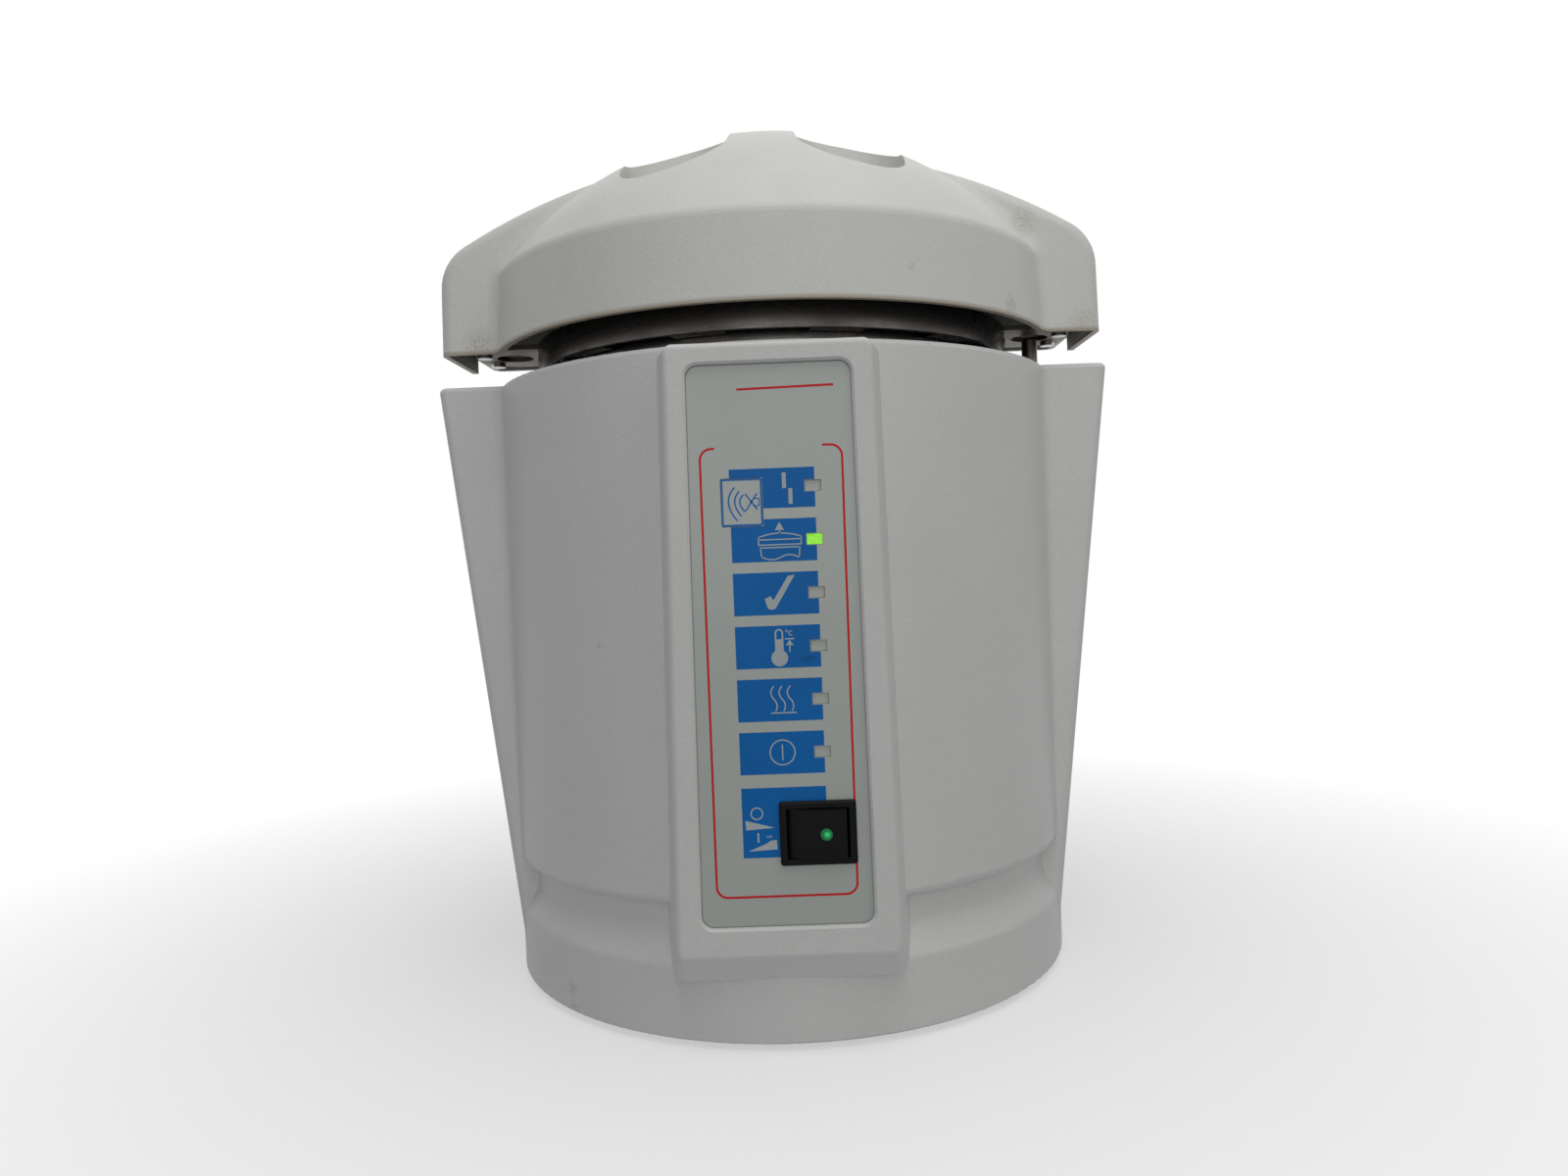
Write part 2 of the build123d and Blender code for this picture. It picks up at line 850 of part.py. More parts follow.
def board_components():
    """Relay, capacitors, processor and key contact on the board."""
    relay_right = relay_width - relay_left
    relay_back = board_back + relay_depth
    relay_low = board_low + relay_rise
    relay = block(-relay_left, relay_right, board_back, relay_back, relay_low, relay_low + relay_height)
    chip_back = board_back + processor_depth
    chip_low = board_low + processor_rise
    chip_high = chip_low + processor_height
    processor = block(-processor_half, processor_half, board_back, chip_back, chip_low, chip_high)
    capacitor_back = board_back + capacitor_depth
    capacitor_z = board_low + capacitor_rise
    capacitors = [rod(capacitor_radius, board_back, capacitor_back, x, capacitor_z) for x in capacitor_places]
    half = contact_half
    contact = block(key_x - half, key_x + half, contact_front(), board_front, key_z - half, key_z + half)
    return [relay, processor, contact] + capacitors


def key_back():
    """Back of the mute key's plate at rest."""
    return label_front - key_proud + key_thickness


def contact_front():
    """Front of the key's contact on the board."""
    return board_front - contact_height


def mute_key():
    """Square key on a round stem that reaches the board's contact."""
    plate = key_window(key_back() - key_thickness, key_back())
    stem_end = contact_front() - key_travel - key_stop_gap
    return plate + rod(key_stem_radius, key_back(), stem_end, key_x, key_z)


rocker_pivot_y = label_front + rocker_pivot_depth
rocker_pin_length = switch_body_height - 2 * rocker_pin_wall


def switch_frame():
    """Switch body with its face frame and the rocker's well."""
    flange = block(
        switch_x - switch_frame_width / 2,
        switch_x + switch_frame_width / 2,
        label_front - switch_frame_proud,
        label_front,
        switch_z - switch_frame_height / 2,
        switch_z + switch_frame_height / 2,
    )
    flange = fillet(flange.edges().filter_by(Axis.Y), switch_corner_round)
    flange = chamfer(flange.faces().sort_by(Axis.Y)[0].edges(), switch_frame_chamfer)
    body = block(
        switch_x - switch_body_width / 2,
        switch_x + switch_body_width / 2,
        label_front - 0.5,
        label_front + switch_body_depth,
        switch_z - switch_body_height / 2,
        switch_z + switch_body_height / 2,
    )
    well_half = rocker_swing_radius + rocker_gap
    well = block(
        switch_x - well_half,
        switch_x + well_half,
        label_front - switch_frame_proud - 1,
        label_front + rocker_swing_radius + 2,
        switch_z - rocker_height / 2 - rocker_gap,
        switch_z + rocker_height / 2 + rocker_gap,
    )
    pivots = Pos(switch_x, rocker_pivot_y, switch_z) * Cylinder(
        rocker_pin_radius + running_clearance, rocker_pin_length + 2 * rocker_pin_gap
    )
    return flange + body - well - pivots


def rocker_blank():
    """Rocker in its middle position with its pivot pins."""
    face = outline(
        [
            (-rocker_half, -rocker_end_rise, 0),
            (-rocker_flat_half, -rocker_rise, 0),
            (rocker_flat_half, -rocker_rise, 0),
            (rocker_half, -rocker_end_rise, 0),
            (rocker_half, rocker_side_depth, 0),
            (rocker_back_half, rocker_back_depth, 0),
            (-rocker_back_half, rocker_back_depth, 0),
            (-rocker_half, rocker_side_depth, 0),
        ]
    )
    body = Pos(0, 0, -rocker_height / 2) * extrude(face, rocker_height)
    body &= Cylinder(rocker_swing_radius, rocker_height)
    return body + Cylinder(rocker_pin_radius, rocker_pin_length)


def rocker_pose():
    """Place of the rocker when it is switched on."""
    return Pos(switch_x, rocker_pivot_y, switch_z) * Rot(0, 0, -rocker_tilt)


def lens_rod(radius):
    """Lamp lens set into the rocker's raised half."""
    face_y = -rocker_rise
    lens = rod(radius, face_y - lamp_lens_proud, face_y + lamp_lens_depth, lamp_lens_offset, 0)
    return rocker_pose() * lens


def switch_rocker():
    """Rocker without the lamp lens's seat."""
    return rocker_pose() * rocker_blank() - lens_rod(lamp_lens_radius)


def switch_terminals():
    """Blade terminals on the switch's back."""
    back = label_front + switch_body_depth
    half_x = terminal_thickness / 2
    half_z = terminal_width / 2
    blades = []
    for x in (switch_x - terminal_spacing, switch_x, switch_x + terminal_spacing):
        for z in (switch_z - terminal_height, switch_z + terminal_height):
            blades.append(block(x - half_x, x + half_x, back, back + terminal_length, z - half_z, z + half_z))
    return blades


def chamber_vessel():
    """Drawn steel pressure chamber, open at the top."""
    outer = turned(
        [
            (0, chamber_low, 0),
            (chamber_outer, chamber_low, chamber_bottom_round + chamber_wall),
            (chamber_outer, neck_high, 0),
            (0, neck_high, 0),
        ]
    )
    inner = turned(
        [
            (0, chamber_floor, 0),
            (chamber_radius, chamber_floor, chamber_bottom_round),
            (chamber_radius, neck_high + 1, 0),
            (0, neck_high + 1, 0),
        ]
    )
    return outer - inner


def neck_ring():
    """Machined ring on the chamber's mouth with the locking lugs."""
    ring = tube(chamber_outer, neck_outer, neck_high - neck_ring_height, neck_high)
    lugs = [
        sector(neck_outer - 1, neck_outer + lug_reach, lug_low, neck_high, index * lug_pitch, lug_arc)
        for index in range(lug_count)
    ]
    return ring + lugs


def heater_element():
    """Sheathed heating ring whose two ends bend down into legs for the terminals."""
    half_open = (360 - heater_sweep) / 2
    section = Plane.XZ * (Pos(heater_ring_radius, heater_centre) * Circle(heater_tube_radius))
    element = Rot(0, 0, 90 + half_open) * revolve(section, Axis.Z, heater_sweep)
    bend_z = heater_centre - heater_bend
    for side in (-1, 1):
        bend = revolve(section, Axis((0, 0, bend_z), (-side, 0, 0)), 90)
        element += Rot(0, 0, heater_end_angle(side)) * bend
        x, y = heater_leg_place(side)
        element += cylinder(heater_tube_radius, heater_centre - heater_leg, bend_z, x, y)
    return element


def heater_end_angle(side):
    """Angle of the heating ring's end on one side of its gap."""
    return 90 - side * (360 - heater_sweep) / 2


def heater_leg_place(side):
    """Centre of the leg on one side of the ring's gap."""
    angle = heater_end_angle(side)
    x, y = polar(heater_ring_radius, angle)
    along_x, along_y = polar(side * heater_bend, angle + 90)
    return (x + along_x, y + along_y)


def heater_plate():
    """Clamp plate under the heating ring, with the sensors' opening and slots for the legs."""
    plate = tube(heater_plate_bore, heater_plate_radius, heater_plate_low, heater_plate_high)
    slot = SlotCenterToCenter(heater_bend, 2 * (heater_tube_radius + heater_leg_room), rotation=90)
    for side in (-1, 1):
        place = Pos(heater_ring_radius, side * heater_bend / 2, heater_plate_low - 1)
        cutter = extrude(place * slot, heater_plate_thickness + 2)
        plate -= Rot(0, 0, heater_end_angle(side)) * cutter
    return plate


def sensor_bar():
    """Bar across the clamp plate's opening that carries the sensors."""
    reach = heater_plate_bore + sensor_bar_overlap
    half = sensor_bar_width / 2
    return block(-reach, reach, -half, half, heater_plate_low - sensor_bar_thickness, heater_plate_low)


def support_posts():
    """Posts between the base plate and the heater's clamp plate."""
    posts = []
    for index in range(post_count):
        x, y = polar(post_circle_radius, 45 + index * 360 / post_count)
        posts.append(cylinder(post_radius, base_plate_high, heater_plate_low, x, y))
    return posts


def foot_places():
    """Plan positions of the feet."""
    return [polar(foot_circle, 45 + index * 360 / foot_count) for index in range(foot_count)]


def boss_places():
    """Plan positions of the casing's screw bosses."""
    return [polar(boss_circle, index * 360 / boss_count) for index in range(boss_count)]


def base_screws():
    """Screws up through the base plate into the casing's bosses."""
    return [pan_screw(base_plate_low, base_screw_length, x, y, head_up=False) for x, y in boss_places()]


def base_plate():
    """Steel chassis plate that closes the underside."""
    plate = cylinder(plinth_radius - casing_wall - base_plate_gap, base_plate_low, base_plate_high)
    for x, y in foot_places() + boss_places():
        plate -= cylinder(screw_radius + running_clearance, base_plate_low - 1, base_plate_high + 1, x, y)
    half = vent_width / 2
    for index in range(vent_count):
        slot = block(vent_inner, vent_outer, -half, half, base_plate_low - 1, base_plate_high + 1)
        slot = fillet(slot.edges().filter_by(Axis.Z), half - 0.1)
        plate -= Rot(0, 0, (index + 0.5) * 360 / vent_count) * slot
    return plate


def rubber_foot(x, y):
    """Round foot with a well for its screw."""
    foot = cylinder(foot_radius, 0, base_plate_low, x, y)
    foot = fillet(foot.faces().sort_by(Axis.Z)[0].edges(), foot_edge_round)
    foot -= cylinder(foot_well_radius, 0, foot_well_depth, x, y)
    return foot - cylinder(screw_radius + running_clearance, 0, base_plate_low, x, y)


def foot_screw(x, y):
    """Screw up through a foot, with its nut on the plate."""
    shank = cylinder(screw_radius, foot_well_depth, base_plate_high + foot_thread_end, x, y)
    head = cylinder(screw_head_radius, foot_well_depth - screw_head_height, foot_well_depth, x, y)
    nut = Pos(x, y, base_plate_high) * extrude(RegularPolygon(foot_nut_radius, 6), foot_nut_height)
    return shank + head + nut


def inlet_screw_heights():
    """Heights of the mains inlet's two screws."""
    return (inlet_high - inlet_screw_z_inset, inlet_low + inlet_screw_z_inset)


def mains_inlet():
    """Mains inlet with its socket and the fuse drawer's slot."""
    face = inlet_face
    seat = face - inlet_flange_thickness
    flange = block(-inlet_half_width, inlet_half_width, seat, face, inlet_low, inlet_high)
    flange = fillet(flange.edges().filter_by(Axis.Y), inlet_round)
    half = inlet_body_half - seat_gap
    body_low = inlet_body_low + seat_gap
    body_high = inlet_body_high - seat_gap
    body = block(-half, half, face - inlet_body_depth, seat, body_low, body_high)
    socket = block(
        -socket_width / 2,
        socket_width / 2,
        face - socket_depth,
        face + 1,
        socket_z - socket_height / 2,
        socket_z + socket_height / 2,
    )
    socket = fillet(socket.edges().filter_by(Axis.Y), socket_round)
    slot = block(
        -drawer_width / 2 - key_clearance,
        drawer_width / 2 + key_clearance,
        face - drawer_depth - seat_gap,
        face + 1,
        drawer_z - drawer_height / 2 - key_clearance,
        drawer_z + drawer_height / 2 + key_clearance,
    )
    inlet = flange + body - socket - slot
    for screw_z in inlet_screw_heights():
        inlet -= rod(small_screw_radius + running_clearance, seat - 1, face + 1, 0, screw_z)
        inlet -= rod(small_head_radius + running_clearance, face - small_head_height, face + 1, 0, screw_z)
    for x, z in inlet_pin_places():
        inlet -= inlet_pin(x, z)
    return inlet


def inlet_pin_places():
    """Positions of the line, earth and neutral pins."""
    high = socket_z + inlet_pin_drop / 2
    low = socket_z - inlet_pin_drop / 2
    return [(-inlet_pin_spacing, low), (0, high), (inlet_pin_spacing, low)]


def inlet_pin(x, z):
    """One pin from the terminal tail to inside the socket."""
    face = inlet_face
    half_x = inlet_pin_width / 2
    half_z = inlet_pin_height / 2
    tail = face - inlet_body_depth - inlet_tail
    return block(x - half_x, x + half_x, tail, face - inlet_pin_recess, z - half_z, z + half_z)


def inlet_screws():
    """Screws through the inlet's flange into the casing."""
    screws = []
    for screw_z in inlet_screw_heights():
        seat = inlet_face - small_head_height
        head = rod(small_head_radius, seat, inlet_face, 0, screw_z)
        screws.append(head + rod(small_screw_radius, seat - inlet_screw_length, seat, 0, screw_z))
    return screws


def fuse_drawer():
    """Small drawer with a trough for the fuse."""
    face = inlet_face
    body = block(
        -drawer_width / 2,
        drawer_width / 2,
        face - drawer_depth,
        face,
        drawer_z - drawer_height / 2,
        drawer_z + drawer_height / 2,
    )
    trough = block(
        -drawer_width / 2 + drawer_wall,
        drawer_width / 2 - drawer_wall,
        face - drawer_depth + drawer_wall,
        face - drawer_front,
        drawer_z - drawer_height / 2 + drawer_wall,
        drawer_z + drawer_height / 2 + 1,
    )
    grip_x = drawer_grip_width / 2
    grip_z = drawer_grip_height / 2
    grip = block(-grip_x, grip_x, face - drawer_grip_depth, face + 1, drawer_z - grip_z, drawer_z + grip_z)
    return body - trough - grip


def fuse():
    """Glass fuse across the drawer."""
    y = inlet_face - drawer_depth + drawer_wall + fuse_radius + seat_gap
    z = drawer_z - drawer_height / 2 + drawer_wall + fuse_radius
    return Pos(0, y, z) * Rot(0, 90, 0) * Cylinder(fuse_radius, fuse_length)


lock_pin_low = rim - lock_pin_below
lock_pin_high = strap_low - lock_pin_gap


def pin_bush():
    """Flanged bush in the deck that guides the lock pin."""
    barrel = tube(lock_pin_radius + running_clearance, bush_radius, rim - bush_length, rim, lock_x)
    flange = tube(
        lock_pin_radius + running_clearance, bush_flange_radius, rim, rim + bush_flange_thickness, lock_x
    )
    return barrel + flange


def lock_pin():
    """Steel lock pin with a collar for its return spring."""
    pin = cylinder(lock_pin_radius, lock_pin_low - lock_pin_tail, lock_pin_high, lock_x)
    pin = chamfer(pin.faces().sort_by(Axis.Z)[-1].edges(), 0.8)
    collar_high = lock_pin_low + lock_collar_height
    return pin + cylinder(lock_pin_radius + lock_collar_rim, lock_pin_low, collar_high, lock_x)


def lock_actuator():
    """Actuator under the lock pin, hung from the deck by its bracket."""
    x_low = lock_x - actuator_depth / 2
    x_high = lock_x + actuator_depth / 2
    half = actuator_width / 2
    high = lock_pin_low - actuator_gap
    middle = high - actuator_height / 2
    body = block(x_low, x_high, -half, half, high - actuator_height, high)
    body -= cylinder(lock_pin_radius + actuator_bore_clearance, high - actuator_bore_depth, high + 1, lock_x)
    right_ear = block(x_low, x_high, half, half + actuator_ear, middle, rim - casing_wall)
    left_ear = block(x_low, x_high, -half - actuator_ear, -half, middle, rim - casing_wall)
    return body + [right_ear, left_ear]


def lock_spring():
    """Return spring between the pin's collar and the bush."""
    low = lock_pin_low + lock_collar_height + spring_wire
    high = rim - bush_length - spring_wire
    path = Helix((high - low) / spring_turns, high - low, spring_radius)
    start = Plane(origin=path @ 0, z_dir=path % 0)
    return Pos(lock_x, 0, low) * sweep(start * Circle(spring_wire), path)


def arm_outline(inset=0.0):
    """Front view of the lid's handle bridge, smaller by an inset."""
    centre_z = cover_low + arm_top - arm_top_radius
    radius = arm_top_radius - inset
    end_round = arm_end_round - inset
    side = arm_reach - arm_draft - inset
    end_x = side - end_round
    end_z = centre_z + sqrt((radius - end_round) ** 2 - end_x**2)
    share = radius / (radius - end_round)
    join_x = end_x * share
    join_z = centre_z + (end_z - centre_z) * share
    turn = atan2(end_z - centre_z, end_x) / 2
    middle = (end_x + end_round * cos(turn), end_z + end_round * sin(turn))
    low = cover_low - (1 if inset > 0 else 0)
    foot = arm_reach - inset
    right = [
        Line((foot, low), (side, end_z)),
        ThreePointArc((side, end_z), middle, (join_x, join_z)),
    ]
    left = [mirror(edge, Plane.YZ) for edge in right]
    top = ThreePointArc((join_x, join_z), (0, centre_z + radius), (-join_x, join_z))
    bottom = Line((-foot, low), (foot, low))
    return make_face(right + left + [top, bottom])


def handle_bridge(inset=0.0):
    """Solid of both lid handles, joined across the lid."""
    half = wing_width / 2 - inset
    face = Plane((0, half, 0), x_dir=(1, 0, 0), z_dir=(0, -1, 0)) * arm_outline(inset)
    bridge = extrude(face, 2 * half)
    if inset > 0:
        return bridge
    rim_edges = bridge.edges().filter_by(lambda edge: abs(abs(edge.center().Y) - half) < 0.01)
    upper = rim_edges.filter_by(lambda edge: edge.center().Z > cover_low + 1)
    return fillet(upper, arm_edge_round)


def cap_body(inset=0.0):
    """Domed cap with its drafted skirt, smaller by an inset."""
    centre_z = cover_low + cap_apex - cap_radius
    sphere = cap_radius - inset
    shoulder = cover_shoulder_radius - inset
    shoulder_z = centre_z + sqrt(sphere**2 - shoulder**2)
    low = cover_low - (1 if inset > 0 else 0)
    mid = shoulder / 2
    mid_z = centre_z + sqrt(sphere**2 - mid**2)
    edges = [
        Line((0, low), (cover_low_radius - inset, low)),
        Line((cover_low_radius - inset, low), (shoulder, shoulder_z)),
        ThreePointArc((shoulder, shoulder_z), (mid, mid_z), (0, centre_z + sphere)),
        Line((0, centre_z + sphere), (0, low)),
    ]
    body = revolve(Plane.XZ * make_face(edges), Axis.Z)
    rounding = cover_shoulder_round - inset
    shoulder_edge = body.edges().filter_by(lambda edge: abs(edge.center().Z - shoulder_z) < 0.01)
    return fillet(shoulder_edge, rounding)


def finger_pocket(wall=0.0):
    """Tapered scoop for the fingers at the front right, larger by a wall."""
    depth = cap_apex - pocket_floor + pocket_clear_height + wall
    floor_half_x = pocket_half_x + wall
    floor_half_y = pocket_half_y + wall
    mouth = Rectangle(2 * floor_half_x, 2 * floor_half_y)
    mouth = fillet(mouth.vertices(), pocket_round + wall)
    top = cover_low + cap_apex + pocket_clear_height
    scoop = Pos(pocket_x, -pocket_y, top) * extrude(mouth, -depth, taper=pocket_taper)
    floor = scoop.faces().sort_by(Axis.Z)[0]
    return fillet(floor.edges(), pocket_floor_round + wall)


def four_pockets(wall=0.0):
    """The four scoops about the middle of the lid."""
    front = mirrored_x(finger_pocket(wall))
    return front + [mirror(scoop, Plane.XZ) for scoop in front]


def vent_slot():
    """Slot through the far wall of the front right scoop."""
    y_far = -pocket_y + pocket_half_y
    middle = pocket_x - vent_slot_shift
    half = vent_slot_width / 2
    low = cover_low + vent_slot_low
    high = low + vent_slot_height
    return block(middle - half, middle + half, y_far - vent_slot_inner, y_far + vent_slot_outer, low, high)


def cover_boss_places():
    """Plan positions of the screws between strap and cover."""
    return [(x, y) for x in (-cover_boss_x, cover_boss_x) for y in (-cover_boss_y, cover_boss_y)]


def cover_form():
    """Outer form of the lid: cap and handles with rounded creases between them."""
    form = cap_body() + handle_bridge()
    half = wing_width / 2
    creases = []
    for edge in form.edges():
        box = edge.bounding_box()
        on_side = abs(abs(box.min.Y) - half) < 0.01 and abs(abs(box.max.Y) - half) < 0.01
        on_cap = max(abs(box.min.X), abs(box.max.X)) < cover_low_radius - arm_crease_round
        if on_side and on_cap and box.size.Z > 1:
            creases.append(edge)
    return fillet(creases, arm_crease_round)


def grip_relief(side):
    """Cut under the rear half of a handle's end, where the strap stays in sight."""
    ends = sorted((side * grip_relief_inner, side * (arm_reach + 2)))
    rear = wing_width / 2 + arm_crease_round + 1
    return block(ends[0], ends[1], grip_relief_side, rear, cover_low - 1, strap_high)


def lid_cover():
    """White lid cover with its handles, finger pockets and steam slots."""
    outer = cover_form()
    hollow = cap_body(cover_wall) + handle_bridge(cover_wall)
    shell = (outer - four_pockets()) - (hollow - four_pockets(cover_wall))
    for x, y in cover_boss_places():
        boss = cylinder(cover_boss_radius, strap_high, cover_low + arm_top, x, y) & outer
        shell += boss
        shell -= cylinder(screw_radius, strap_high - 1, strap_high + cover_bore_depth, x, y)
    shell -= vent_slot()
    shell -= Rot(0, 0, 180) * vent_slot()
    for side in (-1, 1):
        shell -= grip_relief(side)
    return shell


def bridge_strap():
    """Steel strap inside the handles, stepped up over the pressure lid."""
    lower = [
        (strap_reach, strap_low),
        (strap_joggle_outer, strap_low),
        (strap_joggle_inner, strap_bridge_low),
    ]
    under = [(-x, z, 0) for x, z in lower] + [(x, z, 0) for x, z in reversed(lower)]
    over = [(x, z + strap_thickness, 0) for x, z, _ in reversed(under)]
    strap = upright_plate(under + over, -strap_width / 2, strap_width / 2)
    corners = strap.edges().filter_by(Axis.Z).filter_by(lambda edge: abs(edge.center().X) > strap_reach - 1)
    strap = fillet(corners, strap_corner_round)
    for x in (-lock_x, lock_x):
        strap -= cylinder(strap_eye_radius, strap_low - 1, strap_high + 1, x)
    for x, y in cover_boss_places() + strap_screw_places():
        strap -= cylinder(screw_radius + running_clearance, strap_low - 1, strap_high + 1, x, y)
    return strap - cylinder(spindle_bush_outer, strap_bridge_low - 1, strap_bridge_high + 1)


def strap_screw_places():
    """Plan positions of the screws between strap and locking ring."""
    return [(x, y) for x in (-strap_screw_x, strap_screw_x) for y in (-strap_screw_y, strap_screw_y)]


def locking_ring():
    """Steel ring whose claws pass between and under the chamber's lugs."""
    ring = tube(ring_outer - ring_wall, ring_outer, claw_low, strap_low)
    ring += tube(ring_flange_inner, ring_outer - ring_wall / 2, ring_flange_low, strap_low)
    claws = [
        sector(claw_inner, ring_outer - 1, claw_low, claw_high, (index + 0.5) * lug_pitch, claw_arc)
        for index in range(lug_count)
    ]
    ring += claws
    for x, y in strap_screw_places():
        ring -= cylinder(screw_radius + running_clearance, ring_flange_low - 1, strap_low + 1, x, y)
    return ring


def strap_screws():
    """Screws that fasten the strap to the locking ring."""
    return [pan_screw(strap_high, strap_thickness + ring_wall, x, y) for x, y in strap_screw_places()]


def cover_screws():
    """Screws up through the strap into the cover's bosses."""
    length = strap_thickness + cover_screw_length
    return [pan_screw(strap_low, length, x, y, head_up=False) for x, y in cover_boss_places()]


def lid_plate():
    """Pressed steel pressure lid with a shallow dome."""
    rise = lid_dome_rise
    sphere = (lid_dome_radius**2 + rise**2) / (2 * rise)
    centre_z = lid_plate_high + rise - sphere
    mid = lid_dome_radius / 2

    top = ThreePointArc(
        (lid_dome_radius, lid_plate_high),
        (mid, centre_z + sqrt(sphere**2 - mid**2)),
        (0, centre_z + sphere),
    )
    under_z = centre_z + sphere - lid_plate_thickness
    under = ThreePointArc(
        (0, under_z),
        (mid, centre_z + sqrt((sphere - lid_plate_thickness) ** 2 - mid**2)),
        (lid_dome_radius, lid_plate_low),
    )
    edges = [
        Line((lid_dome_radius, lid_plate_low), (lid_plate_radius, lid_plate_low)),
        Line((lid_plate_radius, lid_plate_low), (lid_plate_radius, lid_plate_high)),
        Line((lid_plate_radius, lid_plate_high), (lid_dome_radius, lid_plate_high)),
        top,
        Line((0, centre_z + sphere), (0, under_z)),
        under,
    ]
    plate = revolve(Plane.XZ * make_face(edges), Axis.Z)
    for angle, radius in ((valve_angle, valve_stem_radius), (air_vent_angle, air_vent_pin_radius)):
        x, y = polar(valve_circle, angle)
        plate -= cylinder(radius + valve_bore_clearance, lid_plate_low - 1, lid_plate_high + rise + 1, x, y)
    return plate


def dome_height(radius):
    """Height of the pressure lid's upper face at a radius."""
    sphere = (lid_dome_radius**2 + lid_dome_rise**2) / (2 * lid_dome_rise)
    return lid_plate_high + lid_dome_rise - sphere + sqrt(sphere**2 - radius**2)


def gasket():
    """Silicone seal between lid plate and chamber mouth."""
    flat = tube(gasket_inner, neck_outer, gasket_low, lid_plate_low)
    return flat + tube(gasket_inner, gasket_inner + gasket_lip_width, gasket_low - gasket_lip, lid_plate_low)


def glide_ring():
    """Low-friction ring between the pressure lid and the turning ring."""
    return tube(glide_inner, lid_plate_radius, lid_plate_high, ring_flange_low - glide_gap)


def spindle():
    """Stud at the lid's centre, with a shoulder under the strap's bush."""
    low = dome_height(0)
    stud = cylinder(spindle_radius, low, strap_bridge_high + spindle_height)
    return stud + cylinder(spindle_shoulder, low, strap_bridge_low - seat_gap)


def spindle_bush():
    """Bearing bush pressed into the strap."""
    return tube(spindle_radius + running_clearance, spindle_bush_outer, strap_bridge_low, strap_bridge_high)


def spindle_nut():
    """Nut and washer over the bush."""
    low = strap_bridge_high + seat_gap
    nut_low = low + spindle_washer
    nut_half = spindle_nut_across / 2
    washer = tube(spindle_radius, nut_half + spindle_washer_rim, low, nut_low)
    hexagon = extrude(RegularPolygon(nut_half, 6, major_radius=False), spindle_nut_height)
    nut = Pos(0, 0, nut_low) * hexagon - cylinder(spindle_radius, low, nut_low + spindle_nut_height + 1)
    return washer + nut


def relief_seat():
    """Valve seat screwed into the pressure lid."""
    x, y = polar(valve_circle, valve_angle)
    low = dome_height(valve_circle - valve_seat_radius)
    seat = Pos(x, y, low) * extrude(RegularPolygon(valve_seat_radius, 6), valve_seat_height)
    neck_low = dome_height(valve_circle + valve_seat_radius)
    seat += cylinder(valve_seat_radius - valve_neck_inset, neck_low, low + 1, x, y)
    seat -= lid_plate()
    bore = valve_stem_radius + valve_bore_clearance
    return seat - cylinder(bore, low - valve_stem_radius, low + valve_seat_height + 1, x, y)


def relief_cap():
    """Weighted cap of the relief valve with its stem."""
    x, y = polar(valve_circle, valve_angle)
    low = dome_height(valve_circle - valve_seat_radius) + valve_seat_height + seat_gap
    cap = cylinder(valve_cap_radius, low, low + valve_cap_height, x, y)
    cap = fillet(cap.faces().sort_by(Axis.Z)[-1].edges(), valve_cap_round)
    return cap + cylinder(valve_stem_radius, low - valve_seat_height, low, x, y)


def air_vent_body():
    """Housing of the air vent on the pressure lid."""
    x, y = polar(valve_circle, air_vent_angle)
    low = dome_height(valve_circle - air_vent_body_radius)
    neck_low = dome_height(valve_circle + air_vent_body_radius)
    body = cylinder(air_vent_body_radius, low, low + air_vent_body_height, x, y)
    body += cylinder(air_vent_body_radius - valve_neck_inset, neck_low, low + 1, x, y)
    body -= lid_plate()
    bore = air_vent_pin_radius + valve_bore_clearance
    return body - cylinder(bore, low - air_vent_pin_radius, low + air_vent_body_height + 1, x, y)


def air_vent_pin():
    """Float pin that rises when the chamber is under pressure."""
    x, y = polar(valve_circle, air_vent_angle)
    top = dome_height(valve_circle - air_vent_body_radius) + air_vent_body_height + seat_gap
    pin = cylinder(air_vent_pin_radius, top - air_vent_body_height - 1, top, x, y)
    return pin + cylinder(air_vent_pin_head_radius, top, top + air_vent_pin_head_height, x, y)


trivet_low = chamber_floor
basket_low = trivet_low + trivet_height
basket_high = basket_low + basket_height


def floor_holes(low, high):
    """Cutters for the rings of holes in the trivet and the basket's floor."""
    return [
        cylinder(hole_radius, low - 1, high + 1, *polar(circle, index * 360 / holes_round + turn))
        for circle, turn in hole_circles
        for index in range(holes_round)
    ]


def trivet():
    """Perforated plate on a ring, which keeps the basket out of the water."""
    plate_low = basket_low - trivet_plate
    stand_outer = trivet_radius - trivet_stand_inset + trivet_stand_wall
    plate = cylinder(trivet_radius, plate_low, basket_low)
    stand = tube(stand_outer - trivet_stand_wall, stand_outer, trivet_low, plate_low)
    return plate + stand - floor_holes(plate_low, basket_low)


def basket_floor():
    """Perforated floor spot-welded into the basket's wall."""
    high = basket_low + basket_wall
    floor = cylinder(basket_radius - basket_wall, basket_low, high)
    return floor - floor_holes(basket_low, high)


